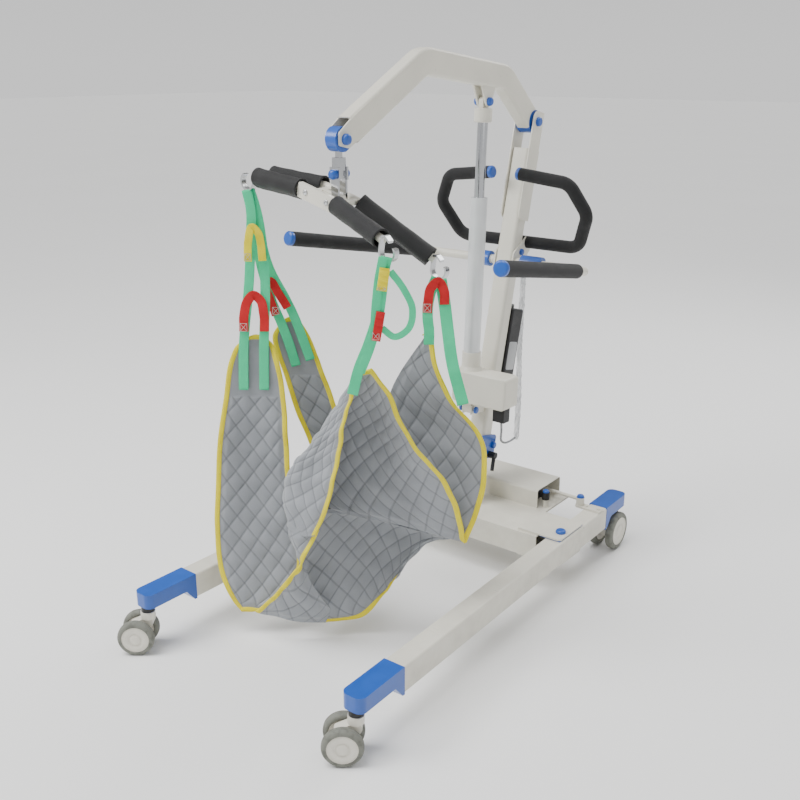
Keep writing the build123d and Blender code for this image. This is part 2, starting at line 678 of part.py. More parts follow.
def hook(point, way):
    """A sling hook bent from strip: a loop that hangs from the bar's end, with a throat above its nose."""
    outer = make_hull((Circle(hook_r) + Pos(-way * 16, 24, 0) * Circle(11)).edges())
    inner = make_hull((Circle(hook_r - hook_strip) + Pos(-way * 16, 24, 0) * Circle(11 - hook_strip)).edges())
    loop = extrude(outer - inner, amount=hook_width / 2, both=True)
    loop -= Pos(way * 10, 26, 0) * Box(20, 22, hook_width + 2)
    return Pos(point[0] + way * 22, point[1], point[2] - 20) * Rot(90, 0, 0) * loop


def spreader_hooks():
    hooks = []
    for bar in (-1, 1):
        points = bar_ends(bar)
        hooks += [hook(points[0], -1), hook(points[3], 1)]
    bars = spreader_bars()
    return [on_spreader((piece - bars).solids().sort_by(SortBy.VOLUME)[-1]) for piece in hooks]


save("hanger_roller", hanger_roller())
save("hanger_stem", hanger_stem())
save("hanger_yoke", hanger_yoke())
save("yoke_pin", *yoke_pin())
save("spreader_frame", spreader_frame())
save("spreader_pads", *spreader_pads())
save("spreader_hooks", *spreader_hooks())


# ---------------------------------------------------------------- sling
# Each stretch of cloth is a flat slab. Its outline is (across, height) about the hanger, and it
# leans on the plane depth = base + by_across * across + by_height * height, towards the front.
sling_panels = {
    "near_leg_flap": {
        "outline": [(-280, 820), (-200, 820), (-170, 690), (-158, 480), (-135, 240), (-200, 110), (-265, 85),
                    (-330, 130), (-365, 300), (-355, 480), (-325, 680)],
        "plane": (40, 0.0, -0.19)},
    "far_leg_flap": {
        "outline": [(-180, 855), (-125, 855), (-85, 790), (-30, 620), (20, 440), (-60, 380), (-110, 515),
                    (-165, 680), (-195, 800)],
        "plane": (-120, 0.0, -0.085)},
    "near_side": {
        "outline": [(55, 835), (30, 825), (-65, 620), (-140, 500), (-150, 400), (-135, 280), (-60, 380)],
        "plane": (150, 0.55, 0.04)},
    "near_back": {
        "outline": [(80, 835), (62, 820), (-25, 540), (-60, 395), (110, 385), (300, 340), (315, 360),
                    (295, 450), (225, 585), (150, 710)],
        "plane": (20, 0.35, 0.19)},
    "far_back": {
        "outline": [(220, 885), (205, 860), (130, 730), (115, 600), (120, 400), (320, 365), (365, 500),
                    (360, 590), (280, 715)],
        "plane": (85, 0.1, -0.05)},
    "seat": {
        "outline": [(-85, 370), (-125, 270), (-235, 75), (-165, 52), (-40, 45), (60, 62), (135, 165),
                    (215, 310), (110, 365)],
        "plane": (40, 0.0, 0.0)}}


def sling_slab(outline, plane):
    base, by_across, by_height = plane
    corners = [(u, -(base + by_across * u + by_height * z), z) for u, z in outline]
    slab = extrude(make_face(Polyline(*corners, close=True)), amount=sling_cloth / 2, dir=(0, 1, 0), both=True)
    return Pos(hang_x, hang_y, 0) * Rot(0, 0, sling_across) * slab


save("sling", *[sling_slab(panel["outline"], panel["plane"]) for panel in sling_panels.values()])


# ---------------------------------------------------------------- leads
lead_r = 3.5
lead_route = [(118, 350, 477), (117, 354, 455), (108, 368, 430), (90, 396, 406), (68, 434, 380), (48, 478, 355),
              (31, 524, 335), (15, 570, 321), (5, 605, 313), (0, 635, 312)]
bundle_low, bundle_top = 300.0, 900.0


def smooth_radii(points):
    """The largest round bend that each corner's two runs leave room for."""
    radii = []
    for a, b, c in zip(points, points[1:], points[2:]):
        first, second = Vector(*b) - Vector(*a), Vector(*c) - Vector(*b)
        turn = math.radians(first.get_angle(second))
        radii.append(0.45 * min(first.length, second.length) / math.tan(turn / 2))
    return radii


def lift_lead():
    """The lift actuator's lead, from its plug to the wrapped bundle behind the mast."""
    radii = smooth_radii(lead_route)
    path = FilletPolyline(*lead_route, radius=radii)
    print("lead length", round(path.length), "bend radii", [round(r) for r in radii])
    return sweep(Plane(origin=path @ 0, z_dir=path % 0) * Circle(lead_r), path=path)


def lead_bundle():
    """The rest of the leads in a film sleeve that hangs straight down behind the mast."""
    hank = block(-12, 12, 635, 655, bundle_low, bundle_top)
    return fillet(hank.edges().filter_by(Axis.Z), 9)


save("lift_lead", lift_lead())
save("lead_bundle", lead_bundle())
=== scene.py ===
import json
import math

import bmesh
import bpy
import numpy as np
from bpy.props import FloatProperty, FloatVectorProperty, IntProperty, PointerProperty
from bpy.types import Operator, Panel, PropertyGroup
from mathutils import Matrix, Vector


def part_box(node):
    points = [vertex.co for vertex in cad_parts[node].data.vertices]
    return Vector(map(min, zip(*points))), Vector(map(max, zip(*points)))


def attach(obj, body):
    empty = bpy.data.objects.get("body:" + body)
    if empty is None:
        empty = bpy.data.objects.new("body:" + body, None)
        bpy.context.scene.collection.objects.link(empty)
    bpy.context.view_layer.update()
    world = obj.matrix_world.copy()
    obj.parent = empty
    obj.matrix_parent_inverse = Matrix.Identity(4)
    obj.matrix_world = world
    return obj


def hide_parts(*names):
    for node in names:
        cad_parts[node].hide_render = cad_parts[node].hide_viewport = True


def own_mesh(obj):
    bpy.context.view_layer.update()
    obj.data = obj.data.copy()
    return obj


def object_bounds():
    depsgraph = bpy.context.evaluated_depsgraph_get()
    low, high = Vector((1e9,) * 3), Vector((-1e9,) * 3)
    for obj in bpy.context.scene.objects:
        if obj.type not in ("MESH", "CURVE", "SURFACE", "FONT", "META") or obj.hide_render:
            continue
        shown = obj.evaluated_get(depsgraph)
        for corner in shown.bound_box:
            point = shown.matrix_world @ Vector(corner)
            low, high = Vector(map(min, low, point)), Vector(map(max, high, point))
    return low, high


bl_info = {
    "name": "Patient lift finishes",
    "version": (1, 0, 0),
    "blender": (4, 5, 0),
    "location": "View3D > Sidebar > Patient lift",
    "description": "Cloth, webbing, leads, casters and finishes for a mobile patient lift",
    "category": "Object",
}

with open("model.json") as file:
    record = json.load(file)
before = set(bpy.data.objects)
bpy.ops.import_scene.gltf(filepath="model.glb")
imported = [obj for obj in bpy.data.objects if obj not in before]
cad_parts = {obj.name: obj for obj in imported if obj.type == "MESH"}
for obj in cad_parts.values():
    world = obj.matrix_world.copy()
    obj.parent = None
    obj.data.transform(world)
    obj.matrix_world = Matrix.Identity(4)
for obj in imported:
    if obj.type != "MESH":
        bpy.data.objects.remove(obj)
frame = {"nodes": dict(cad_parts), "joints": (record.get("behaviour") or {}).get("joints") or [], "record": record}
NODES = frame["nodes"]
CAD_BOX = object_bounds()
HANG = sum(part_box("hanger_stem"), Vector()) / 2
MM = 0.001


# ---------------------------------------------------------------- settings
def colour_setting(name, about, value):
    """A colour in the sidebar, with its default."""
    return FloatVectorProperty(name=name, description=about, subtype="COLOR", size=3, min=0, max=1,
                               default=value)


def length_setting(name, about, value, low, high):
    """A length in metres in the sidebar, with its default and its limits."""
    return FloatProperty(name=name, description=about, default=value, min=low, max=high,
                         subtype="DISTANCE", unit="LENGTH")


class LiftFinishSettings(PropertyGroup):
    """Colours of the painted, moulded and plated parts."""

    cream: colour_setting("Cream paint", "Powder coat of the steelwork", (0.76, 0.735, 0.64))
    blue: colour_setting("Blue plastic", "Moulded brackets, caps and knuckle", (0.008, 0.085, 0.42))
    foam: colour_setting("Foam", "Closed-cell foam of the grips", (0.006, 0.006, 0.0065))
    nylon: colour_setting("Nylon", "Woven cover of the spreader sleeves", (0.005, 0.005, 0.0055))
    black: colour_setting("Black plastic", "Control box and lever", (0.008, 0.008, 0.009))
    tyre: colour_setting("Tyre", "Non-marking rubber of the casters", (0.20, 0.205, 0.175))
    hub: colour_setting("Hub", "Moulded caster hubs and bodies", (0.72, 0.69, 0.60))
    lead: colour_setting("Lead", "Sheath of the lift lead", (0.30, 0.31, 0.32))


class LiftSlingSettings(PropertyGroup):
    """Sizes and colours of the sling."""

    cloth: colour_setting("Cloth", "Quilted polyester", (0.275, 0.29, 0.31))
    binding: colour_setting("Binding", "Tape sewn round the cloth's edges", (0.96, 0.80, 0.012))
    webbing: colour_setting("Webbing", "Long straps", (0.03, 0.74, 0.34))
    red: colour_setting("Red loop", "Sewn loops near the cloth", (0.62, 0.006, 0.01))
    yellow: colour_setting("Yellow loop", "Sewn loops near the hooks", (0.96, 0.80, 0.012))
    thickness: length_setting("Thickness", "Cloth at a seam", 0.0032, 0.001, 0.01)
    puff: length_setting("Puff", "Rise of the wadding between seams", 0.0044, 0, 0.01)
    diamond_wide: length_setting("Diamond width", "Quilting across", 0.050, 0.01, 0.2)
    diamond_tall: length_setting("Diamond height", "Quilting along", 0.064, 0.01, 0.2)
    tape: length_setting("Binding width", "Width of the edge tape", 0.0145, 0.004, 0.04)
    strap: length_setting("Strap width", "Width of the webbing", 0.026, 0.01, 0.06)


class LiftPieceSettings(PropertyGroup):
    """Sizes of the smaller pieces."""

    lead_diameter: length_setting("Lead diameter", "Sheath of the lift lead", 0.007, 0.003, 0.02)
    tread_steps: IntProperty(name="Wheel steps", description="Facets round a wheel", default=72, min=24,
                             max=160)
    sleeve_flap: length_setting("Sleeve flap", "Free cloth past the sleeve's foam", 0.012, 0, 0.05)


# ---------------------------------------------------------------- shader maths
class Value:
    """A shader socket that takes arithmetic: each operator adds one Math node to its finish."""

    def __init__(self, finish, socket):
        self.finish = finish
        self.socket = socket

    def maths(self, operation, *values):
        return self.finish.node("Math", {"operation": operation}, values)

    def __add__(self, other):
        return self.maths("ADD", self, other)

    def __sub__(self, other):
        return self.maths("SUBTRACT", self, other)

    def __rsub__(self, other):
        return self.maths("SUBTRACT", other, self)

    def __mul__(self, other):
        return self.maths("MULTIPLY", self, other)

    def __truediv__(self, other):
        return self.maths("DIVIDE", self, other)

    __radd__ = __add__
    __rmul__ = __mul__

    def size(self):
        return self.maths("ABSOLUTE", self)

    def wave(self):
        return self.maths("SINE", self)

    def part(self):
        """The distance to the nearest whole number, 0 to 0.5."""
        return (self.maths("FRACT", self + 0.5) - 0.5).size()

    def ease(self, low, high):
        """0 below low, 1 above high and a smooth step between."""
        return self.finish.node("MapRange", {"interpolation_type": "SMOOTHSTEP"}, [self, low, high])


class Finish:
    """One material: a Principled surface, and the nodes that drive it."""

    def __init__(self, name, **constants):
        self.material = bpy.data.materials.new(name)
        self.material.use_nodes = True
        self.tree = self.material.node_tree
        self.surface = next(n for n in self.tree.nodes if n.type == "BSDF_PRINCIPLED")
        self.set(**constants)

    def node(self, kind, settings=None, inputs=(), out=0):
        """Adds a node of that kind; inputs are values or links, in order or by name."""
        made = self.tree.nodes.new("ShaderNode" + kind)
        for key, value in (settings or {}).items():
            setattr(made, key, value)
        for key, value in inputs.items() if isinstance(inputs, dict) else enumerate(inputs):
            self.plug(value, made.inputs[key])
        return Value(self, made.outputs[out])

    def plug(self, value, socket):
        if isinstance(value, Value):
            self.tree.links.new(value.socket, socket)
        else:
            socket.default_value = (*value, 1.0) if hasattr(value, "__len__") and len(value) == 3 \
                and socket.type == "RGBA" else value

    def set(self, **values):
        """Sets surface sockets by name, with underscores for spaces."""
        for key, value in values.items():
            self.plug(value, self.surface.inputs[key.replace("_", " ")])

    def place(self, stretch=None):
        where = self.node("TexCoord", out="Object")
        if stretch:
            where = self.node("Mapping", {}, {"Vector": where, "Scale": stretch})
        return where

    def cloth_place(self):
        """The distance across and along the piece, from its own map, in metres."""
        split = self.tree.nodes.new("ShaderNodeSeparateXYZ")
        self.plug(self.node("UVMap", {"uv_map": "cloth"}), split.inputs[0])
        return Value(self, split.outputs[0]), Value(self, split.outputs[1])

    def height(self):
        return self.node("SeparateXYZ", {}, [self.node("TexCoord", out="Object")], out=2)

    def noise(self, where, scale, detail=2.0, rough=0.5):
        return self.node("TexNoise", {}, {"Vector": where, "Scale": scale, "Detail": detail,
                                          "Roughness": rough}, "Fac")

    def cells(self, where, scale):
        return self.node("TexVoronoi", {}, {"Vector": where, "Scale": scale}, "Distance")

    def mix(self, share, a, b):
        return self.node("Mix", {"data_type": "RGBA"}, {0: share, 6: a, 7: b}, 2)

    def bump(self, height, distance, strength=1.0):
        self.set(Normal=self.node("Bump", {}, {"Height": height, "Distance": distance,
                                              "Strength": strength}))
        return self


def shade(colour, amount):
    return tuple(min(1.0, c * amount) for c in colour)


def paint_finish(name, colour):
    """Satin powder coat: orange peel, faint clouding, dust low down and fine rubbed marks."""
    f = Finish(name, Coat_Weight=0.12, Coat_Roughness=0.3)
    where = f.place()
    cloud = f.noise(where, 7, 4)
    marks = f.noise(f.place((14, 160, 60)), 1.4, 3).ease(0.66, 0.72)
    marks = marks * f.noise(where, 18).ease(0.45, 0.65)
    dust = (1.0 - f.height().ease(0.05, 0.32)) * f.noise(where, 26, 4).ease(0.3, 0.75)
    colour_now = f.mix(cloud.ease(0.25, 0.8), colour, shade(colour, 0.90))
    colour_now = f.mix(marks * 0.35, colour_now, (0.33, 0.32, 0.30))
    f.set(Base_Color=f.mix(dust * 0.22, colour_now, (0.34, 0.31, 0.26)),
          Roughness=0.34 + 0.14 * cloud + 0.22 * marks + 0.12 * dust)
    return f.bump(f.noise(where, 620, 1), 0.00035, 0.35).material


def gloss_finish(name, colour, rough=0.26):
    """Glossy moulded plastic: slight sink marks, faint haze and hairline scratches."""
    f = Finish(name, Coat_Weight=0.25, Coat_Roughness=0.12, Specular_IOR_Level=0.55)
    where = f.place()
    haze = f.noise(where, 24, 4)
    lines = f.noise(f.place((30, 420, 260)), 1.0, 2).ease(0.68, 0.73)
    f.set(Base_Color=f.mix(haze.ease(0.35, 0.8) * 0.5 + lines * 0.25, colour, shade(colour, 1.25)),
          Roughness=rough + 0.16 * haze + 0.18 * lines)
    return f.bump(f.noise(where, 120, 3) + 0.3 * f.noise(where, 1500, 1), 0.0003, 0.25).material


def moulded_finish(name, colour, rough=0.5, grain=1300):
    """Spark-textured plastic with a fine even grain and rubbed, slightly shiny patches."""
    f = Finish(name)
    where = f.place()
    rub = f.noise(where, 16, 4).ease(0.45, 0.75)
    f.set(Base_Color=f.mix(rub * 0.5, colour, shade(colour, 1.45)), Roughness=rough - 0.12 * rub)
    return f.bump(f.cells(where, grain), 0.00025, 0.5).material


def foam_finish(name, colour):
    """Closed-cell foam: small open pores, painted darker inside as shade, over a dull skin that is polished where
    hands go.
    """
    f = Finish(name, Sheen_Weight=0.06, Sheen_Roughness=0.5)
    where = f.place()
    pore_dips_and_shade = f.cells(where, 900)
    worn = f.noise(where, 22, 3).ease(0.5, 0.8)
    # painted shade: the colour is darker down in each pore and lighter on the skin between pores
    f.set(Base_Color=f.mix(pore_dips_and_shade.ease(0.1, 0.55), shade(colour, 0.6), shade(colour, 1.9)),
          Roughness=0.86 - 0.2 * worn)
    return f.bump(pore_dips_and_shade * 0.7 + 0.5 * f.noise(where, 260, 3), 0.0006, 0.7).material


def metal_finish(name, colour, rough, brush, marks=0.12):
    """Bare or plated metal with a fine directional grain, smudges and dull spots."""
    f = Finish(name, Metallic=1.0)
    where = f.place()
    grain = f.noise(f.place(brush), 1.0, 2)
    smudge = f.noise(where, 14, 4).ease(0.4, 0.75)
    spots = f.noise(where, 160, 2).ease(0.66, 0.74)
    f.set(Base_Color=f.mix(smudge * 0.35 + spots * 0.3, colour, shade(colour, 0.72)),
          Roughness=rough + marks * smudge + 0.08 * grain + 0.15 * spots)
    return f.bump(grain, 0.00008, 0.4).material


def satin_finish(name, colour):
    """Silver-white satin lacquer on a drawn tube."""
    f = Finish(name, Metallic=0.35, Coat_Weight=0.2, Coat_Roughness=0.25)
    where = f.place()
    cloud = f.noise(where, 12, 4)
    f.set(Base_Color=f.mix(cloud.ease(0.3, 0.8), colour, shade(colour, 0.9)),
          Roughness=0.3 + 0.12 * cloud)
    return f.bump(f.noise(f.place((700, 700, 60)), 1.0, 1), 0.00012, 0.4).material


def rubber_finish(name, colour):
    """Moulded rubber with dust in its grain and patches of floor dirt."""
    f = Finish(name)
    where = f.place()
    dirt = f.noise(where, 60, 5).ease(0.42, 0.7)
    f.set(Base_Color=f.mix(dirt * 0.6, colour, shade(colour, 0.5)), Roughness=0.72 + 0.14 * dirt)
    return f.bump(f.noise(where, 900, 2) + 0.6 * f.noise(where, 140, 3), 0.0004, 0.5).material


def quilt_finish(name, colour, wide, tall):
    """Quilted polyester: a fine plain weave, seams in a diamond lattice with dashed stitches,
    painted shade that darkens the cloth beside each seam, and soft fading in broad patches."""
    f = Finish(name, Sheen_Weight=0.35, Sheen_Roughness=0.45, Specular_IOR_Level=0.3)
    u, v = f.cloth_place()
    across, along = u / wide, v / tall
    seam_a, seam_b = (across + along).part(), (across - along).part()
    on_a, on_b = 1.0 - seam_a.ease(0.010, 0.024), 1.0 - seam_b.ease(0.010, 0.024)
    dash_a = ((across - along) * 12.0).part().ease(0.1, 0.16)
    dash_b = ((across + along) * 12.0).part().ease(0.1, 0.16)
    quilted = f.node("Attribute", {"attribute_name": "quilted"}, out="Fac")
    stitch = (on_a * dash_a + on_b * dash_b) * quilted
    seam_dip_and_shade = ((1.0 - seam_a.ease(0.0, 0.09)) + (1.0 - seam_b.ease(0.0, 0.09))) * quilted
    weave = ((u * 3600.0).wave() * (v * 3600.0).wave()) * 0.5 + 0.5
    fade = f.noise(f.place(), 5, 4)
    slub = f.noise(f.place(), 420, 3)
    tone = f.mix(fade.ease(0.3, 0.75), shade(colour, 1.12), shade(colour, 0.88))
    tone = f.mix(slub * 0.35, tone, shade(colour, 1.35))
    # painted shade: the cloth is darkened down in the valleys beside each seam
    tone = f.mix(seam_dip_and_shade * 0.5, tone, shade(colour, 0.34))
    f.set(Base_Color=f.mix(stitch * 0.4, tone, shade(colour, 1.3)), Roughness=0.82 - 0.1 * slub)
    return f.bump(0.35 * weave + 0.6 * slub + 0.8 * stitch - 0.5 * seam_dip_and_shade, 0.0006, 0.6).material


def webbing_finish(name, colour, rib=0.0021):
    """Woven tape: chevron ribs along its length over fine warp threads, with fuzz and worn patches."""
    f = Finish(name, Sheen_Weight=0.06, Sheen_Roughness=0.4)
    u, v = f.cloth_place()
    chevron = ((v + (u / 0.0065).part() * 0.0065) * (1 / rib)).part() * 2.0
    thread = (u * (1 / 0.0011)).part() * 2.0
    fuzz = f.noise(f.place(), 380, 3)
    wear = f.noise(f.place(), 28, 4).ease(0.4, 0.8)
    tone = f.mix(chevron * 0.45 + fuzz * 0.25, colour, shade(colour, 0.68))
    f.set(Base_Color=f.mix(wear * 0.25, tone, shade(colour, 1.25)), Roughness=0.74 + 0.12 * fuzz)
    return f.bump(chevron * 0.7 + thread * 0.3 + fuzz * 0.4, 0.0006, 0.8).material


def nylon_finish(name, colour):
    """Heavy nylon: a basket weave with a painted highlight on its raised threads, and lint."""
    f = Finish(name, Sheen_Weight=0.12, Sheen_Roughness=0.35, Specular_IOR_Level=0.45)
    u, v = f.cloth_place()
    weave = (u * (1 / 0.0016)).part() * 2.0 * ((v * (1 / 0.0016)).part() * 2.0)
    lint = f.noise(f.place(), 300, 4).ease(0.62, 0.72)
    # painted highlight: the weave's raised threads are lightened in the colour; the lint is lighter too
    f.set(Base_Color=f.mix(weave * 0.4 + lint * 0.25, colour, shade(colour, 2.4)),
          Roughness=0.62 - 0.15 * weave)
    return f.bump(weave + 0.6 * f.noise(f.place(), 90, 3), 0.0007, 0.7).material


def film_finish(name):
    """Thin crinkled film: cloudy, silvery and see-through between its creases."""
    f = Finish(name, Specular_IOR_Level=0.8, Coat_Weight=0.6, Coat_Roughness=0.08)
    where = f.place((1, 1, 0.45))
    crease = f.noise(where, 70, 5).ease(0.35, 0.65)
    f.set(Base_Color=f.mix(crease, (0.62, 0.64, 0.66), (0.86, 0.87, 0.88)),
          Roughness=0.12 + 0.3 * crease, Alpha=0.46 + 0.34 * crease)
    return f.bump(f.noise(where, 110, 4), 0.0025, 0.9).material


# ---------------------------------------------------------------- surfaces as arrays
def follow(points, stations):
    """Points on a smooth line through the given ones. Stations run 0 to 1 by chord length; between two
    points the line is the cubic whose slopes are the central differences at both."""
    p = np.asarray(points, float)
    t = np.concatenate([[0.0], np.cumsum(np.linalg.norm(np.diff(p, axis=0), axis=1))])
    t /= t[-1]
    slope = np.gradient(p, t, axis=0)
    k = np.clip(np.searchsorted(t, stations, side="right") - 1, 0, len(t) - 2)
    h = (t[k + 1] - t[k])[:, None]
    s = (stations - t[k])[:, None] / h
    return ((2 * s**3 - 3 * s**2 + 1) * p[k] + (s**3 - 2 * s**2 + s) * h * slope[k]
            + (3 * s**2 - 2 * s**3) * p[k + 1] + (s**3 - s**2) * h * slope[k + 1])


def even_line(points, count):
    """The smooth line through the points, at equal steps of its own length."""
    fine = follow(points, np.linspace(0, 1, 400))
    run = np.concatenate([[0.0], np.cumsum(np.linalg.norm(np.diff(fine, axis=0), axis=1))])
    at = np.linspace(0, run[-1], count)
    return np.stack([np.interp(at, run, fine[:, i]) for i in range(3)], axis=1)


def lofted(rows, down, across):
    """A sheet through rows of points: each row becomes an even line, and matching points of the rows
    are joined by smooth lines."""
    lines = np.stack([even_line(row, across) for row in rows])
    return follow(lines.reshape(len(rows), -1), np.linspace(0, 1, down)).reshape(down, across, 3)


def unit(vectors):
    return vectors / np.maximum(np.linalg.norm(vectors, axis=-1, keepdims=True), 1e-9)


def sheet_normals(grid):
    """The cross product of the grid's two directions, or the sheet's mean where a row closes to a point."""
    cross = np.cross(np.gradient(grid, axis=1), np.gradient(grid, axis=0))
    weak = np.linalg.norm(cross, axis=-1, keepdims=True) < 1e-9
    return unit(np.where(weak, cross.sum((0, 1)), unit(cross)))


def run_lengths(grid, axis):
    """The distance along one direction of the grid, from its first line."""
    steps = np.linalg.norm(np.diff(grid, axis=axis), axis=-1)
    return np.concatenate([np.zeros_like(np.take(steps, [0], axis)), np.cumsum(steps, axis=axis)], axis)


def grid_faces(rows, columns, closed=False, start=0, flip=False):
    """Quads between neighbouring lines of a grid, wrapped across the columns when it is closed."""
    across = columns if closed else columns - 1
    i, j = np.meshgrid(np.arange(rows - 1), np.arange(across), indexing="ij")
    k = (j + 1) % columns
    quads = np.stack([i * columns + j, i * columns + k, (i + 1) * columns + k, (i + 1) * columns + j],
                     -1).reshape(-1, 4) + start
    return quads[:, ::-1] if flip else quads


def tube_faces(rows, columns):
    """The quads of a grid wrapped across, with a cap over its first ring and one over its last."""
    last = (rows - 1) * columns
    return grid_faces(rows, columns, closed=True).tolist() + [list(range(columns))[::-1],
                                                              list(range(last, last + columns))]


def node_points(name):
    """The vertices of a part of the frame."""
    return np.array([v.co for v in NODES[name].data.vertices], float)


def box_middle(points):
    return (points.min(0) + points.max(0)) / 2


def long_axis(points):
    """The direction in which points spread most: the last eigenvector of their covariance."""
    return np.linalg.eigh(np.cov((points - points.mean(0)).T))[1][:, -1]


def rim_indices(rows, columns):
    """The border of a grid, once round, as (row, column) pairs: top, right, bottom, left."""
    top = [(0, j) for j in range(columns)]
    right = [(i, columns - 1) for i in range(1, rows)]
    bottom = [(rows - 1, j) for j in range(columns - 2, -1, -1)]
    left = [(i, 0) for i in range(rows - 2, 0, -1)]
    return top, right, bottom, left


def new_piece(name, vertices, faces, finishes, body, cloth_map=None, face_finish=None, layers=None):
    """Puts arrays into a mesh object at the origin that rides on a body. Every piece is one or more
    closed shells, and each is turned so that its faces point outwards. Finishes go by name."""
    mesh = bpy.data.meshes.new(name)
    mesh.from_pydata(np.asarray(vertices, float).reshape(-1, 3).tolist(), [],
                     [list(map(int, f)) for f in faces])
    for finish in finishes:
        mesh.materials.append(finish_of[finish])
    mesh.polygons.foreach_set("use_smooth", np.ones(len(mesh.polygons), bool))
    if face_finish is not None:
        mesh.polygons.foreach_set("material_index", np.asarray(face_finish, np.int32))
    if cloth_map is not None:
        corner = np.zeros(len(mesh.loops), np.int32)
        mesh.loops.foreach_get("vertex_index", corner)
        layer = mesh.uv_layers.new(name="cloth")
        layer.data.foreach_set("uv", np.asarray(cloth_map, np.float32).reshape(-1, 2)[corner].ravel())
    for key, values in (layers or {}).items():
        layer = mesh.attributes.new(key, "FLOAT", "POINT")
        layer.data.foreach_set("value", np.asarray(values, np.float32))
    shell = bmesh.new()
    shell.from_mesh(mesh)
    bmesh.ops.recalc_face_normals(shell, faces=shell.faces)
    shell.to_mesh(mesh)
    shell.free()
    mesh.update()
    piece = bpy.data.objects.new(name, mesh)
    bpy.context.scene.collection.objects.link(piece)
    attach(piece, body)
    return piece


def swept(centres, sides, ups, profile):
    """A closed tube: at each station the profile's two numbers are steps along its side and its up.
    Gives vertices, faces with an end cap each, and the map of distance round and along."""
    profile = np.broadcast_to(profile, (len(centres),) + np.shape(profile)[-2:])
    grid = centres[:, None] + profile[..., :1] * sides[:, None] + profile[..., 1:] * ups[:, None]
    rows, columns = grid.shape[:2]
    round_it = run_lengths(grid, 1)
    along_it = np.broadcast_to(run_lengths(centres[:, None], 0), (rows, columns))
    flat = np.stack([round_it, along_it], -1).reshape(-1, 2)
    return grid.reshape(-1, 3), tube_faces(rows, columns), flat


def joined(parts):
    """Several (vertices, faces, map) sets as one."""
    vertices, faces, maps, start = [], [], [], 0
    for v, f, m in parts:
        vertices.append(v)
        faces += [[index + start for index in face] for face in f]
        maps.append(m)
        start += len(v)
    return np.concatenate(vertices), faces, np.concatenate(maps)


def turned(foot, axis, profile, steps, ripple=0.0, lobes=12):
    """A profile of (distance along the axis, radius) turned once round the axis, with a ripple of that
    share of the radius if it is ribbed. Gives vertices, faces with both ends closed, and an empty map."""
    profile = np.asarray(profile, float)
    side = unit(np.cross(axis, (0.0, 1.0, 0.0) if abs(axis[1]) < 0.7 else (1.0, 0.0, 0.0)))
    up = np.cross(axis, side)
    angle = np.arange(steps) / steps * 2 * math.pi
    spoke = side * np.cos(angle)[:, None] + up * np.sin(angle)[:, None]
    spoke = spoke * (1 + ripple * np.sin(lobes * angle))[:, None]
    grid = foot + profile[:, None, :1] * axis + profile[:, None, 1:] * spoke[None]
    return grid.reshape(-1, 3), tube_faces(len(profile), steps), np.zeros((len(profile) * steps, 2))


def oval(width, height, count=12, square=1.0):
    """A closed outline: a superellipse of that width and height."""
    angle = np.arange(count) / count * 2 * math.pi
    c, s = np.cos(angle), np.sin(angle)
    return np.stack([np.sign(c) * np.abs(c)**square * width / 2,
                     np.sign(s) * np.abs(s)**square * height / 2], -1)


def smooth_step(x, low, high):
    s = np.clip((x - low) / (high - low), 0, 1)
    return s * s * (3 - 2 * s)


# ---------------------------------------------------------------- sling frame
SLING_TURN = math.radians(37.6)
ACROSS = np.array([math.cos(SLING_TURN), math.sin(SLING_TURN), 0.0])
FRONT = np.array([ACROSS[1], -ACROSS[0], 0.0])
TAPE_INSET = 0.36       # how far inside the edge the tape's middle lies, as a share of its width
TAPE_FOLD = 0.0034      # what the folded tape adds to the cloth's thickness
WEBBING_THICK = 0.0022


def hung(points):
    """(across, towards the front, height) in millimetres from under the hanger, as frame points."""
    p = np.asarray(points, float) * MM
    return np.array([HANG.x, HANG.y, 0.0]) + p[..., :1] * ACROSS + p[..., 1:2] * FRONT \
        + p[..., 2:] * np.array([0.0, 0.0, 1.0])


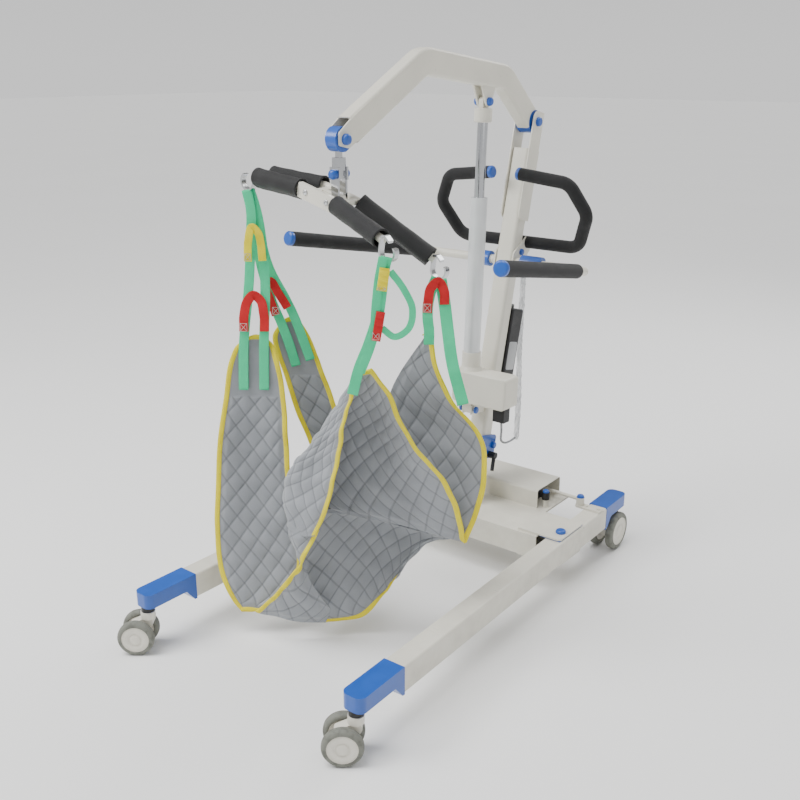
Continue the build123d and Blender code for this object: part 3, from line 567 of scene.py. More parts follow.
# Rows of (across, front, height), each from its first edge to its last, top row first.
SLING_SHEETS = {
    "sling_leg_flap_near": dict(bound="all", plain_above=0.665, down=290, across=88, rows=[
        [(-262, -112, 826), (-240, -114, 832), (-216, -112, 828)],
        [(-287, -110, 808), (-240, -116, 812), (-196, -110, 808)],
        [(-305, -106, 775), (-245, -112, 772), (-183, -106, 772)],
        [(-330, -95, 655), (-250, -104, 655), (-165, -95, 655)],
        [(-350, -80, 540), (-260, -92, 540), (-160, -80, 540)],
        [(-360, -60, 405), (-260, -74, 410), (-155, -60, 420)],
        [(-365, -40, 310), (-260, -52, 310), (-145, -40, 310)],
        [(-350, -2, 170), (-250, -16, 175), (-130, -2, 190)],
        [(-318, 16, 100), (-255, 6, 100), (-170, 20, 120)],
        [(-295, 20, 70), (-262, 16, 68), (-235, 24, 72)]]),
    "sling_leg_flap_far": dict(bound="all", plain_above=0.70, down=270, across=72, rows=[
        [(-172, -190, 856), (-152, -192, 862), (-132, -190, 858)],
        [(-200, -185, 815), (-148, -190, 815), (-100, -185, 805)],
        [(-192, -181, 760), (-138, -186, 755), (-80, -181, 750)],
        [(-175, -180, 705), (-115, -184, 705), (-65, -180, 705)],
        [(-145, -170, 600), (-90, -176, 610), (-35, -170, 620)],
        [(-110, -155, 515), (-50, -162, 515), (-5, -155, 515)],
        [(-65, -120, 375), (-15, -130, 390), (35, -120, 405)],
        [(-50, -70, 220), (10, -84, 220), (62, -70, 220)],
        [(-45, -22, 95), (15, -34, 90), (70, -20, 110)],
        [(-35, 0, 66), (15, -6, 62), (60, 2, 76)]]),
    "sling_body_near": dict(bound="left top right", down=180, across=240, rows=[
        [(50, 225, 835), (45, 222, 830), (40, 214, 824), (45, 205, 820), (60, 210, 828), (80, 222, 840)],
        [(35, 222, 775), (15, 205, 755), (-5, 160, 725), (6, 118, 716), (60, 140, 735), (125, 210, 770)],
        [(15, 215, 705), (-20, 185, 670), (-70, 130, 620), (-50, 78, 612), (60, 90, 640), (175, 200, 650)],
        [(0, 205, 615), (-55, 160, 580), (-130, 105, 540), (-105, 50, 520), (70, 80, 540), (225, 195, 585)],
        [(-20, 190, 520), (-85, 145, 495), (-150, 90, 480), (-125, 34, 452), (85, 90, 460),
         (270, 185, 520)],
        [(-40, 172, 445), (-95, 135, 430), (-152, 85, 425), (-128, 30, 408), (98, 96, 415),
         (298, 170, 440)],
        [(-70, 150, 370), (-110, 120, 355), (-150, 75, 365), (-110, 30, 368), (110, 100, 385),
         (315, 150, 352)]]),
    "sling_gusset_near": dict(bound="left", down=130, across=90, rows=[
        [(-62, 152, 388), (-106, 122, 372), (-146, 82, 380)],
        [(-100, 127, 300), (-120, 107, 300), (-138, 82, 312)],
        [(-125, 110, 255), (-118, 102, 250), (-108, 84, 262)],
        [(-158, 90, 205), (-130, 92, 196), (-98, 78, 205)],
        [(-190, 70, 155), (-135, 76, 145), (-68, 62, 140)],
        [(-225, 48, 110), (-150, 62, 100), (-45, 48, 92)],
        [(-255, 30, 74), (-160, 48, 60), (-60, 38, 46)]]),
    "sling_seat": dict(bound="bottom", down=130, across=170, rows=[
        [(-120, 24, 378), (0, 40, 396), (120, 84, 398), (230, 119, 384), (316, 147, 361)],
        [(-125, 6, 330), (0, -8, 340), (110, 2, 340), (190, 36, 330), (270, 100, 335)],
        [(-128, 8, 240), (-20, -16, 240), (80, -8, 250), (160, 20, 265), (225, 62, 305)],
        [(-135, 18, 150), (-40, -4, 140), (50, -2, 150), (120, 14, 190), (190, 48, 262)],
        [(-120, 30, 85), (-55, 16, 72), (35, 12, 82), (105, 16, 140), (160, 36, 222)],
        [(-62, 36, 46), (-20, 26, 44), (42, 20, 54), (92, 20, 108), (136, 30, 186)]]),
    "sling_back_far": dict(bound="right top", down=200, across=104, rows=[
        [(213, 79, 886), (218, 80, 890), (224, 81, 886)],
        [(170, 42, 812), (205, 62, 825), (236, 85, 820)],
        [(130, 12, 732), (205, 40, 715), (280, 95, 715)],
        [(110, 0, 660), (230, 36, 640), (350, 110, 632)],
        [(112, 6, 570), (240, 44, 565), (366, 121, 562)],
        [(100, 16, 480), (235, 62, 478), (361, 135, 486)],
        [(76, 36, 420), (212, 92, 412), (342, 144, 415)],
        [(46, 66, 388), (188, 118, 368), (318, 149, 351)]]),
}


def quilted_sheet(name, plan, s):
    """Cloth with wadding: both faces are the lofted sheet moved along its normal by half the seam
    thickness plus a cushion of |sin| x |sin| over the diamond lattice, and a wall joins their edges."""
    mid = lofted([hung(row) for row in plan["rows"]], plan["down"], plan["across"])
    normal = sheet_normals(mid)
    width, length = run_lengths(mid, 1), run_lengths(mid, 0)
    width = width - width[:, plan["across"] // 2:plan["across"] // 2 + 1]
    wrinkle = 0.0022 * np.sin(38 * width + 9 * length) * np.sin(21 * length + 1.3) \
        + 0.0016 * np.sin(71 * length - 33 * width + 0.7)
    mid = mid + normal * wrinkle[..., None]
    plain_above = plan.get("plain_above", 9.0)
    quilted = 1 - smooth_step(mid[..., 2], plain_above - 0.004, plain_above)
    across, along = width / s.diamond_wide, length / s.diamond_tall
    cushion = np.abs(np.sin(math.pi * (across + along)) * np.sin(math.pi * (across - along)))
    from_edge = np.minimum(np.minimum(width - width[:, :1], width[:, -1:] - width),
                           np.minimum(length, length[-1:] - length))
    hold = smooth_step(from_edge, s.tape * 0.8, s.tape * 1.9)
    rise = s.thickness / 2 + s.puff * cushion**0.42 * quilted * hold
    rows, columns = mid.shape[:2]
    rim = np.array(sum(rim_indices(rows, columns), []))
    rise[rim[:, 0], rim[:, 1]] = s.thickness / 2
    front, back = mid + normal * rise[..., None], mid - normal * rise[..., None]
    count = rows * columns
    ring = rim[:, 0] * columns + rim[:, 1]
    following = np.roll(ring, -1)
    walls = np.stack([following, ring, ring + count, following + count], -1)
    faces = np.concatenate([grid_faces(rows, columns, flip=True),
                            grid_faces(rows, columns, start=count), walls])
    flat_map = np.stack([width, length], -1).reshape(-1, 2)
    piece = new_piece(name, np.concatenate([front.reshape(-1, 3), back.reshape(-1, 3)]), faces,
                      ["cloth"], "spreader", np.concatenate([flat_map] * 2),
                      layers={"quilted": np.tile(quilted.ravel(), 2)})
    cells = np.cross(np.diff(mid, axis=0)[:, :-1], np.diff(mid, axis=1)[:-1])
    area = np.linalg.norm(cells, axis=-1).sum()
    wide, long = float(np.ptp(width, axis=1).max()), float(np.ptp(length, axis=0).max())
    tape = edge_tape(name + "_binding", mid, normal, plan["bound"], s)
    return piece, tape, wide, long, min(float(area), wide * long)


def edge_tape(name, mid, normal, bound, s):
    """Binding folded over the sheet's edge: a flat oval swept along the border, its width lying in the
    sheet and its centre TAPE_INSET of the tape's width inside the edge."""
    rows, columns = mid.shape[:2]
    borders = dict(zip(("top", "right", "bottom", "left"), rim_indices(rows, columns)))
    whole = bound == "all"
    order = borders if whole else [k for k in ("left", "top", "right", "bottom") if k in bound.split()]
    path = np.array([place for k in order for place in borders[k]])
    on_border = (path == 0) | (path == np.array([rows - 1, columns - 1]))
    inner = path + np.sign(np.array([rows // 2, columns // 2]) - path) * on_border
    edge, ups = mid[path[:, 0], path[:, 1]], normal[path[:, 0], path[:, 1]]
    inward = unit(mid[inner[:, 0], inner[:, 1]] - edge)
    if whole:
        edge, ups, inward = (np.concatenate([a, a[:1]]) for a in (edge, ups, inward))
    keep = np.concatenate([[True], np.linalg.norm(np.diff(edge, axis=0), axis=1) > 2e-4])
    edge, ups, inward = edge[keep], ups[keep], inward[keep]
    soft = np.array([0.25, 0.5, 0.25])
    for _ in range(3):
        inward, ups = (np.stack([np.convolve(np.pad(a[:, i], 1, "edge"), soft, "valid") for i in range(3)],
                                1) for a in (inward, ups))
    inward, ups = unit(inward), unit(ups)
    vertices, faces, tape_map = swept(edge + inward * (s.tape * TAPE_INSET), inward, ups,
                                      oval(s.tape, s.thickness + TAPE_FOLD, 12, 0.55))
    return new_piece(name, vertices, faces, ["binding"], "spreader", tape_map)


# Straps: (points, colour, width factor). Points as in the sheets, from the cloth up to the hook.
SLING_STRAPS = {
    "sling_strap_leg_near": [
        ([(-275, -92, 685), (-273, -101, 755), (-270, -104, 812), (-266, -107, 850), (-256, -122, 930),
          (-243, -134, 1080), (-240, -140, 1170), (-248, -142, 1212)], "webbing", 1.0),
        ([(-220, -92, 685), (-218, -101, 755), (-216, -104, 812), (-214, -107, 850), (-210, -124, 930),
          (-214, -138, 1080), (-228, -144, 1170), (-240, -146, 1212)], "webbing", 1.0)],
    "sling_loop_leg_near": [
        ([(-268, -103, 845), (-266, -110, 890), (-256, -117, 925), (-240, -119, 940), (-223, -117, 927),
          (-214, -111, 890), (-213, -104, 845)], "red", 0.96),
        ([(-250, -118, 1030), (-247, -122, 1085), (-236, -126, 1118), (-222, -128, 1104),
          (-216, -128, 1075),
          (-213, -126, 1030)], "yellow", 0.8)],
    "sling_strap_leg_far": [
        ([(-140, -174, 728), (-160, -178, 800), (-178, -181, 850), (-195, -180, 895), (-222, -172, 1000),
          (-236, -164, 1120), (-244, -152, 1212)], "webbing", 1.0),
        ([(-100, -174, 745), (-118, -178, 800), (-138, -181, 858), (-162, -180, 915), (-202, -172, 1000),
          (-226, -164, 1120), (-240, -150, 1212)], "webbing", 1.0)],
    "sling_loop_leg_far": [
        ([(-190, -176, 872), (-204, -175, 915), (-212, -173, 955), (-203, -172, 966), (-182, -174, 935),
          (-158, -176, 892)], "red", 0.9)],
    "sling_strap_shoulder_near": [
        ([(35, 230, 780), (50, 234, 840), (75, 238, 905), (98, 242, 980), (106, 246, 1035),
          (112, 250, 1085),
          (118, 250, 1112)], "webbing", 1.0),
        ([(55, 232, 835), (85, 240, 920), (93, 246, 1000), (100, 252, 1060),
          (110, 256, 1112)], "webbing", 0.8),
        ([(126, 252, 1080), (158, 250, 1035), (176, 247, 990), (165, 245, 942), (135, 242, 925),
          (106, 242, 945)], "webbing", 0.62)],
    "sling_loop_shoulder_near": [
        ([(92, 243, 915), (98, 246, 950), (104, 248, 985)], "red", 0.8),
        ([(106, 252, 1035), (110, 256, 1060), (114, 258, 1088)], "yellow", 0.9)],
    "sling_strap_shoulder_far": [
        ([(305, 114, 715), (275, 108, 830), (265, 98, 900), (255, 86, 975),
          (246, 80, 1025)], "webbing", 1.15),
        ([(219, 86, 862), (219, 90, 898), (215, 92, 935), (216, 91, 965), (224, 86, 1000),
          (236, 80, 1030)], "webbing", 1.0)],
    "sling_loop_shoulder_far": [
        ([(214, 93, 945), (216, 94, 975), (224, 90, 1008), (240, 86, 1020), (254, 88, 1000),
          (256, 92, 965)],
         "red", 0.9)],
}


def strap_parts(points, width):
    """Webbing lies flat to the front: its width is the cross of its run and the front, and a slight
    wave along its run keeps it from being a plain ribbon."""
    centres = even_line(hung(points), max(24, int(len(points) * 12)))
    run = unit(np.gradient(centres, axis=0))
    sides = unit(np.cross(run, np.broadcast_to(FRONT, run.shape)))
    ups = unit(np.cross(sides, run))
    travel = np.linspace(0, 1, len(centres))[:, None]
    centres = centres + ups * 0.0012 * np.sin(travel * 23 + width * 900)
    return swept(centres, sides, ups, oval(width, WEBBING_THICK, 16, 0.35))


def box_stitch(parts, centre, width):
    """A sewn box with its X: six raised threads, each a thin oval swept between two corners."""
    corners = [centre + ACROSS * a * width * 0.36 + np.array([0, 0, b * width * 0.42])
               + FRONT * WEBBING_THICK for a, b in ((-1, -1), (1, -1), (1, 1), (-1, 1))]
    for start, end in ((0, 1), (1, 2), (2, 3), (3, 0), (0, 2), (1, 3)):
        line = np.linspace(corners[start], corners[end], 6)
        run = np.broadcast_to(unit(corners[end] - corners[start]), line.shape)
        ups = np.broadcast_to(FRONT, line.shape)
        parts.append(swept(line, unit(np.cross(run, ups)), ups, oval(0.0011, 0.0012, 6)))


def fold_with_boom(piece):
    """Gives the piece a mesh of its own; the cloth is not folded as the boom comes down."""
    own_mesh(piece)


finish_of = {}


# ---------------------------------------------------------------- operators
class LIFT_OT_finishes(Operator):
    """Give every part of the frame its finish"""

    bl_idname = "lift.finishes"
    bl_label = "Frame finishes"

    def execute(self, context):
        c = context.scene.lift_finish
        sling = context.scene.lift_sling
        upright_grain, cross_grain = (900, 900, 40), (40, 900, 900)
        finish_of.update(
            cream_paint=paint_finish("cream_powder_coat", c.cream),
            blue_plastic=gloss_finish("blue_moulding", c.blue),
            black_foam=foam_finish("black_foam", c.foam),
            black_sleeve=nylon_finish("black_nylon", c.nylon),
            zinc_steel=metal_finish("zinc_plate", (0.56, 0.57, 0.57), 0.34, cross_grain),
            chrome=metal_finish("chrome_plate", (0.50, 0.51, 0.53), 0.06, upright_grain, 0.08),
            satin_tube=satin_finish("satin_lacquer", (0.74, 0.76, 0.77)),
            aluminium=metal_finish("bent_aluminium", (0.60, 0.61, 0.62), 0.20, cross_grain),
            black_plastic=moulded_finish("black_grained_plastic", c.black, 0.52),
            caster_tyre=rubber_finish("grey_tyre", c.tyre),
            caster_hood=gloss_finish("cream_moulding", c.hub, 0.36),
            caster_neck=moulded_finish("black_neck", c.black, 0.44, 900),
            grey_lead=rubber_finish("grey_sheath", c.lead),
            film_sleeve=film_finish("crinkled_film"),
            grey_collar=moulded_finish("grey_collar", (0.30, 0.31, 0.30), 0.5, 1000),
            label=moulded_finish("blank_label", (0.42, 0.43, 0.44), 0.42, 2000),
            cloth=quilt_finish("quilted_cloth", sling.cloth, sling.diamond_wide, sling.diamond_tall),
            binding=webbing_finish("yellow_binding", sling.binding, 0.0016),
            webbing=webbing_finish("green_webbing", sling.webbing),
            red=webbing_finish("red_webbing", sling.red),
            yellow=webbing_finish("yellow_webbing", sling.yellow),
            thread=rubber_finish("pale_thread", (0.62, 0.62, 0.58)))
        second = {
            "tie_rod_left": ("blue_plastic", lambda p: p[:, 2] > 0.206),
            "tie_rod_right": ("blue_plastic", lambda p: p[:, 2] > 0.206),
            "motor_housing": ("black_plastic", lambda p: (p[:, 0] > 0.096) & (p[:, 2] < 0.5255)),
        }
        for part in frame["record"]["subparts"]:
            mesh = NODES[part["node"]].data
            mesh.materials.clear()
            mesh.materials.append(finish_of.get(part["material_slot"], finish_of["cloth"]))
            if part["node"] in second:
                slot, rule = second[part["node"]]
                mesh.materials.append(finish_of[slot])
                centres = np.zeros(len(mesh.polygons) * 3, np.float32)
                mesh.polygons.foreach_get("center", centres)
                mesh.polygons.foreach_set("material_index", rule(centres.reshape(-1, 3)).astype(np.int32))
        return {"FINISHED"}


class LIFT_OT_casters(Operator):
    """Turn the twin wheels of the four casters"""

    bl_idname = "lift.casters"
    bl_label = "Caster wheels"

    def execute(self, context):
        steps = context.scene.lift_pieces.tread_steps
        joints = {j["name"]: j for j in frame["joints"]}
        for place in ("front_left", "front_right", "rear_left", "rear_right"):
            node, joint = "caster_wheels_" + place, joints["wheels_" + place + "_spin"]
            centre, axle = np.array(joint["pos_m"], float), unit(np.array(joint["axis"], float))
            reach = float(np.abs((node_points(node) - centre) @ axle).max())
            parts, tints = [], []
            for way in (-1, 1):
                part, hub = self.wheel(centre, axle * way, centre[2], reach, steps)
                parts.append(part)
                tints += hub
            vertices, faces, _ = joined(parts)
            piece = new_piece(node + "_turned", vertices, faces,
                              ["caster_tyre", "caster_hood"], "wheels_" + place,
                              face_finish=tints)
            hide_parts(node)
        return {"FINISHED"}

    @staticmethod
    def wheel(centre, axle, radius, reach, steps):
        """A profile of (distance out along the axle, radius) turned once round the axle: inner hub, tyre
        with a crowned tread and two grooves, outer hub disc with a step, a ring and a domed cap."""
        width, rim = 0.026, 0.74 * radius
        inner, outer = reach - width, reach
        half = [(0.0005, rim), (0.0, rim + 0.0015), (0.0005, radius - 0.0075), (0.0025, radius - 0.0028),
                (0.0065, radius - 0.0006), (0.0088, radius - 0.0002), (0.0095, radius - 0.0012),
                (0.0102, radius - 0.0002)]
        tread = [(inner + x, r) for x, r in half] + [(inner + 0.013, radius)] \
            + [(outer - x, r) for x, r in half[::-1]]
        start = [(0.0, 0.0045), (inner - 0.003, 0.0045), (inner - 0.003, 0.011), (inner + 0.002, 0.012),
                 (inner + 0.003, rim - 0.003), (inner + 0.0018, rim - 0.0006)]
        end = [(outer + x, r) for x, r in (
            (-0.0016, rim - 0.0004), (-0.0022, rim - 0.0014), (-0.0012, rim - 0.0026),
            (-0.0012, rim * 0.52), (-0.0026, rim * 0.49), (-0.0026, rim * 0.40), (-0.0008, rim * 0.37),
            (0.0002, rim * 0.30), (0.0006, rim * 0.14), (0.0007, 0.0003))]
        row = np.repeat(np.arange(len(start + tread + end) - 1), steps)
        hub = (row < len(start) - 1) | (row >= len(start) + len(tread) - 1)
        return turned(centre, axle, start + tread + end, steps), hub.astype(int).tolist() + [1, 1]


class LIFT_OT_sleeves(Operator):
    """Sew the padded nylon sleeves over the spreader's arms"""

    bl_idname = "lift.sleeves"
    bl_label = "Spreader sleeves"

    def execute(self, context):
        flap = context.scene.lift_pieces.sleeve_flap
        points = node_points("spreader_pads")
        for name, across, along in (("leg_front", 0, -1), ("leg_rear", 0, 1), ("shoulder_front", 1, -1),
                                    ("shoulder_rear", 1, 1)):
            side = points[:, 0] > HANG.x if across else points[:, 0] < HANG.x
            mine = points[side & ((points[:, 1] - HANG.y) * along > 0)]
            middle, axis = box_middle(mine), long_axis(mine)
            axis = axis * np.sign(axis[0])
            half = np.ptp((mine - middle) @ axis) / 2
            piece = self.sleeve("spreader_sleeve_" + name, middle, axis, half, flap)
        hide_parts("spreader_pads")
        return {"FINISHED"}

    @staticmethod
    def sleeve(name, middle, axis, half, flap):
        """A wrapped tube with a sewn fin below. Its radius is 22.6 mm plus soft ripples along and round
        it, the wall is 4 mm, the ends are cut square, and the fin is the lowest point drawn down."""
        rows, columns, bare_radius, wall, fin_drop = 64, 56, 0.0226, 0.004, 0.0045
        a, t = np.meshgrid(np.linspace(-1, 1, rows), np.arange(columns) / columns * 2 * math.pi,
                           indexing="ij")
        radius = bare_radius + 0.0005 * np.sin(3.1 * a + 2 * t + 0.4) + 0.00035 * np.sin(9 * a - t) \
            + 0.0006 * smooth_step(np.abs(a), 0.84, 1.0)
        fin = np.exp(-((t - 1.5 * math.pi) / 0.22)**2)
        side = unit(np.cross(axis, np.array([0.0, 0.0, 1.0])))
        up = np.cross(side, axis)
        length = half + flap / 2

        def shell(r, drop):
            return middle + (a * length)[..., None] * axis + (r * np.cos(t))[..., None] * side \
                + (r * np.sin(t) - drop * fin)[..., None] * up

        outer, inner = shell(radius, fin_drop), shell(radius - wall, 0.0)
        count, last = rows * columns, (rows - 1) * columns
        ring = np.arange(columns)
        following = (ring + 1) % columns
        faces = np.concatenate([
            grid_faces(rows, columns, closed=True),
            grid_faces(rows, columns, closed=True, start=count, flip=True),
            np.stack([following, ring, ring + count, following + count], -1),
            np.stack([ring, following, following + count, ring + count], -1) + last])
        map_radius = 0.021
        flat = np.stack([t * map_radius, a * length], -1).reshape(-1, 2)
        return new_piece(name, np.concatenate([outer.reshape(-1, 3), inner.reshape(-1, 3)]), faces,
                         ["black_sleeve"], "spreader", np.concatenate([flat, flat]))


class LIFT_OT_sling(Operator):
    """Hang the quilted cloth of the sling"""

    bl_idname = "lift.sling"
    bl_label = "Sling cloth"

    def execute(self, context):
        s = context.scene.lift_sling
        for name, plan in SLING_SHEETS.items():
            piece, tape, wide, long, area = quilted_sheet(name, plan, s)
            fold_with_boom(piece)
            fold_with_boom(tape)
        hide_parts("sling")
        return {"FINISHED"}


class LIFT_OT_straps(Operator):
    """Sew the webbing straps and their coloured loops"""

    bl_idname = "lift.straps"
    bl_label = "Sling straps"

    def execute(self, context):
        s = context.scene.lift_sling
        for name, straps in SLING_STRAPS.items():
            tints = sorted({tint for _, tint, _ in straps})
            parts, which = [], []
            for points, tint, share in straps:
                part = strap_parts(points, s.strap * share)
                parts.append(part)
                which += [tints.index(tint)] * len(part[1])
            if "loop" in name:
                tints.append("thread")
                for points, _, share in straps:
                    before = len(parts)
                    box_stitch(parts, hung(points[0]) + np.array([0, 0, 0.012]), s.strap * share)
                    which += [len(tints) - 1] * sum(len(p[1]) for p in parts[before:])
            vertices, faces, strap_map = joined(parts)
            fold_with_boom(new_piece(name, vertices, faces, tints, "spreader", strap_map,
                                     which))
        return {"FINISHED"}


class LIFT_OT_leads(Operator):
    """Lay the lift lead and its film sleeve"""

    bl_idname = "lift.leads"
    bl_label = "Leads"

    def execute(self, context):
        diameter = context.scene.lift_pieces.lead_diameter
        low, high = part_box("lead_bundle")
        route = np.array([(118, 350, 477), (117, 354, 455), (108, 368, 430), (90, 396, 406), (68, 434, 380),
                          (48, 478, 355), (31, 524, 335), (15, 570, 321), (5, 605, 313),
                          (0, 635, 312)]) * MM
        line = bpy.data.curves.new("lift_lead_sheath", "CURVE")
        line.dimensions = "3D"
        line.bevel_depth = diameter / 2
        line.bevel_resolution = 4
        line.resolution_u = 16
        line.use_fill_caps = True
        spline = line.splines.new("NURBS")
        spline.points.add(len(route) - 1)
        spline.points.foreach_set("co", np.column_stack([route, np.ones(len(route))]).ravel())
        spline.order_u = 3
        spline.use_endpoint_u = True
        line.materials.append(finish_of["grey_lead"])
        lead = bpy.data.objects.new("lift_lead_sheath", line)
        bpy.context.scene.collection.objects.link(lead)
        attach(lead, "base")
        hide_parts("lift_lead")
        sleeve = self.film(low, high)
        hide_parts("lead_bundle")
        return {"FINISHED"}

    @staticmethod
    def film(low, high):
        """A gathered film tube: an oval that turns and swells as it rises, with creases from three
        crossing waves, pinched at both ends."""
        rows, columns = 150, 40
        height, angle = np.meshgrid(np.linspace(0, 1, rows), np.arange(columns) / columns * 2 * math.pi,
                                    indexing="ij")
        radius = 0.0082 + 0.0009 * np.sin(9 * angle + 60 * height) \
            + 0.0008 * np.sin(5 * angle - 97 * height) \
            + 0.0007 * np.sin(2 * angle + 31 * height + 2 * np.sin(17 * height))
        radius *= 1 - 0.42 * np.maximum(1 - height / 0.03, 0) \
            - 0.5 * np.maximum(1 - (1 - height) / 0.025, 0)
        mid_x, mid_y = (low.x + high.x) / 2, (low.y + high.y) / 2
        x = mid_x + radius * np.cos(angle) * 1.08 + 0.0018 * np.sin(8 * height)
        y = mid_y + radius * np.sin(angle) * 0.9
        z = low.z + 0.003 + (high.z - low.z - 0.006) * height
        grid = np.stack([x, y, z], -1)
        return new_piece("lead_film_sleeve", grid, tube_faces(rows, columns), ["film_sleeve"], "base")


class LIFT_OT_trim(Operator):
    """Add the blank label, the connectors and the small screws"""

    bl_idname = "lift.trim"
    bl_label = "Trim"

    def execute(self, context):
        case = node_points("control_box")
        face = case[case[:, 0] > case[:, 0].max() - 2e-4]
        middle, rise = box_middle(face), long_axis(face)
        rise = rise * np.sign(rise[2])
        across = np.cross(rise, np.array([1.0, 0.0, 0.0]))
        half_rise, half_across = (np.ptp((face - middle) @ way) / 2 for way in (rise, across))
        label = self.label("control_box_label", middle - rise * half_rise * 0.42, across, rise,
                           half_across * 0.88, half_rise * 0.44)
        top = middle + rise * (half_rise + 0.005)
        top[0] = HANG.x
        plug_length, plug_radius = 0.013, 0.0058
        plug = np.array([(0, 0.85), (0.15, 0.85), (0.17, 1.0), (0.7, 1.0), (0.76, 0.9), (0.95, 0.82),
                         (1.0, 0.7)]) * (plug_length, plug_radius)
        vertices, faces, _ = joined([turned(top + across * half_across * step, rise, plug, 36, 0.05)
                                     for step in (-0.5, 0.05, 0.6)])
        new_piece("control_box_connectors", vertices, faces, ["grey_collar"], "base")
        plate = node_points("spreader_frame")
        plate = plate[(np.abs(plate[:, 0] - HANG.x) < 0.12) & (plate[:, 2] < 1.32)]
        plate = plate[plate[:, 1] < plate[:, 1].min() + 3e-4]
        middle, run = box_middle(plate), long_axis(plate)
        reach = np.ptp((plate - middle) @ run) / 2
        head = [(0.0, 0.0072), (0.0012, 0.0072), (0.0021, 0.0066), (0.0027, 0.0052), (0.0028, 0.0038),
                (0.0004, 0.0034), (0.0004, 0.0002)]
        ahead = np.array([0.0, -1.0, 0.0])
        vertices, faces, _ = joined([turned(middle + run * reach * way, ahead, head, 40)
                                     for way in (-0.62, 0.55)])
        new_piece("spreader_plate_screws", vertices, faces, ["zinc_steel"], "spreader")
        return {"FINISHED"}

    @staticmethod
    def label(name, centre, across, rise, half_w, half_h):
        """A thin plate with rounded corners: a superellipse outline carried through four rising steps
        that round its edge over."""
        count, squareness = 64, 0.22
        outline = oval(2 * half_w, 2 * half_h, count, squareness)
        steps = [(1.0, -0.0004), (1.0, 0.0003), (0.994, 0.0007), (0.985, 0.0009)]
        out = np.cross(across, rise)
        out = out * np.sign(out[0])
        rings = np.stack([centre + scale * (outline[:, :1] * across + outline[:, 1:] * rise) + out * lift
                          for scale, lift in steps])
        return new_piece(name, rings, tube_faces(len(steps), count), ["label"], "base")


# Name, kind, place, power and size; a sun's power is watts per square metre and its size an angle.
LAMPS = (("key", "AREA", (-2.0, -2.6, 3.4), 130, 1.8), ("fill", "AREA", (3.4, -1.0, 2.4), 16, 2.4),
         ("back", "AREA", (0.6, 3.4, 3.4), 70, 2.0), ("top", "SUN", (-0.5, -0.8, 4.2), 1.9, 0.5))
# Height as the upward part of the direction, and brightness.
SKY_BANDS = ((0.0, 1.25), (0.10, 1.15), (0.22, 0.40), (0.55, 0.34), (0.72, 0.9), (1.0, 1.1))


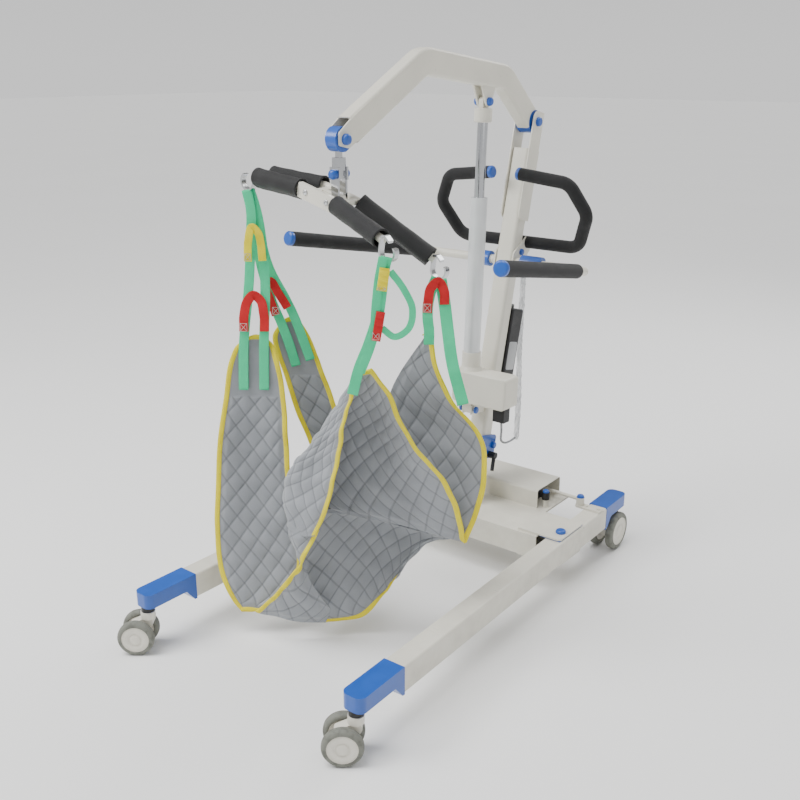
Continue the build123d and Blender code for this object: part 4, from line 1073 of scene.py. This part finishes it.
class LIFT_OT_stage(Operator):
    """Set the floor, the lights and the camera"""

    bl_idname = "lift.stage"
    bl_label = "Stage"

    def execute(self, context):
        scene = context.scene
        floor = bpy.data.meshes.new("studio_floor")
        side, under = 40.0, -0.0005
        floor.from_pydata([(-side, -side, under), (side, -side, under), (side, side, under),
                           (-side, side, under)], [], [(0, 1, 2, 3)])
        pale = Finish("studio_floor", Roughness=0.62)
        pale.set(Base_Color=pale.mix(pale.noise(pale.place(), 0.8, 2), (0.90, 0.90, 0.895),
                                     (0.93, 0.93, 0.925)))
        floor.materials.append(pale.material)
        ground = bpy.data.objects.new("studio_floor", floor)
        scene.collection.objects.link(ground)
        scene.world = self.sky()
        middle = sum(CAD_BOX, Vector()) / 2
        for name, kind, place, power, spread in LAMPS:
            lamp = bpy.data.lights.new(name, kind)
            lamp.energy = power
            setattr(lamp, "angle" if kind == "SUN" else "size", spread)
            light = bpy.data.objects.new(name, lamp)
            self.aim(light, place, middle - Vector(place))
        lens = bpy.data.cameras.new("view")
        lens.lens, lens.sensor_width = 44.3, 36.0
        camera = bpy.data.objects.new("view", lens)
        self.aim(camera, (1.6023, -2.0856, 1.5233), Vector((-0.5773, 0.7492, -0.3247)))
        scene.camera = camera
        return {"FINISHED"}

    @staticmethod
    def sky():
        """A world of grey bands by height: pale at the horizon, dim above it and pale overhead."""
        world = bpy.data.worlds.new("studio")
        world.use_nodes = True
        tree = world.node_tree
        place, split, bands = (tree.nodes.new("ShaderNode" + kind)
                               for kind in ("TexCoord", "SeparateXYZ", "ValToRGB"))
        stops = bands.color_ramp.elements
        for at, _ in SKY_BANDS[1:-1]:
            stops.new(at)
        for stop, (at, level) in zip(stops, SKY_BANDS):
            stop.position, stop.color = at, (level, level, level, 1)
        background = tree.nodes["Background"]
        background.inputs["Strength"].default_value = 0.72
        tree.links.new(place.outputs["Generated"], split.inputs[0])
        tree.links.new(split.outputs["Z"], bands.inputs[0])
        tree.links.new(bands.outputs[0], background.inputs["Color"])
        return world

    @staticmethod
    def aim(thing, place, towards):
        """Puts a lamp or the camera in the scene at a place, pointing along a vector."""
        thing.location = place
        thing.rotation_mode = "QUATERNION"
        thing.rotation_quaternion = towards.to_track_quat("-Z", "Y")
        bpy.context.scene.collection.objects.link(thing)


STEPS = (LIFT_OT_finishes, LIFT_OT_casters, LIFT_OT_sleeves, LIFT_OT_sling, LIFT_OT_straps, LIFT_OT_leads,
         LIFT_OT_trim, LIFT_OT_stage)
SETTINGS = (("lift_finish", LiftFinishSettings), ("lift_sling", LiftSlingSettings),
            ("lift_pieces", LiftPieceSettings))


class LIFT_PT_panel(Panel):
    """Sizes, colours and pieces of the patient lift"""

    bl_idname = "LIFT_PT_panel"
    bl_label = "Patient lift"
    bl_space_type = "VIEW_3D"
    bl_region_type = "UI"
    bl_category = "Patient lift"

    def draw(self, context):
        for key, group in SETTINGS:
            column = self.layout.column(align=True)
            for name in group.__annotations__:
                column.prop(getattr(context.scene, key), name)
        for step in STEPS:
            self.layout.operator(step.bl_idname)


def register():
    for key, group in SETTINGS:
        bpy.utils.register_class(group)
        setattr(bpy.types.Scene, key, PointerProperty(type=group))
    for item in STEPS + (LIFT_PT_panel,):
        bpy.utils.register_class(item)


def unregister():
    for item in (LIFT_PT_panel,) + STEPS[::-1]:
        bpy.utils.unregister_class(item)
    for key, group in SETTINGS[::-1]:
        delattr(bpy.types.Scene, key)
        bpy.utils.unregister_class(group)


def main():
    register()
    for step in STEPS:
        getattr(bpy.ops.lift, step.bl_idname.split(".")[1])()


if __name__ == "__main__":
    main()
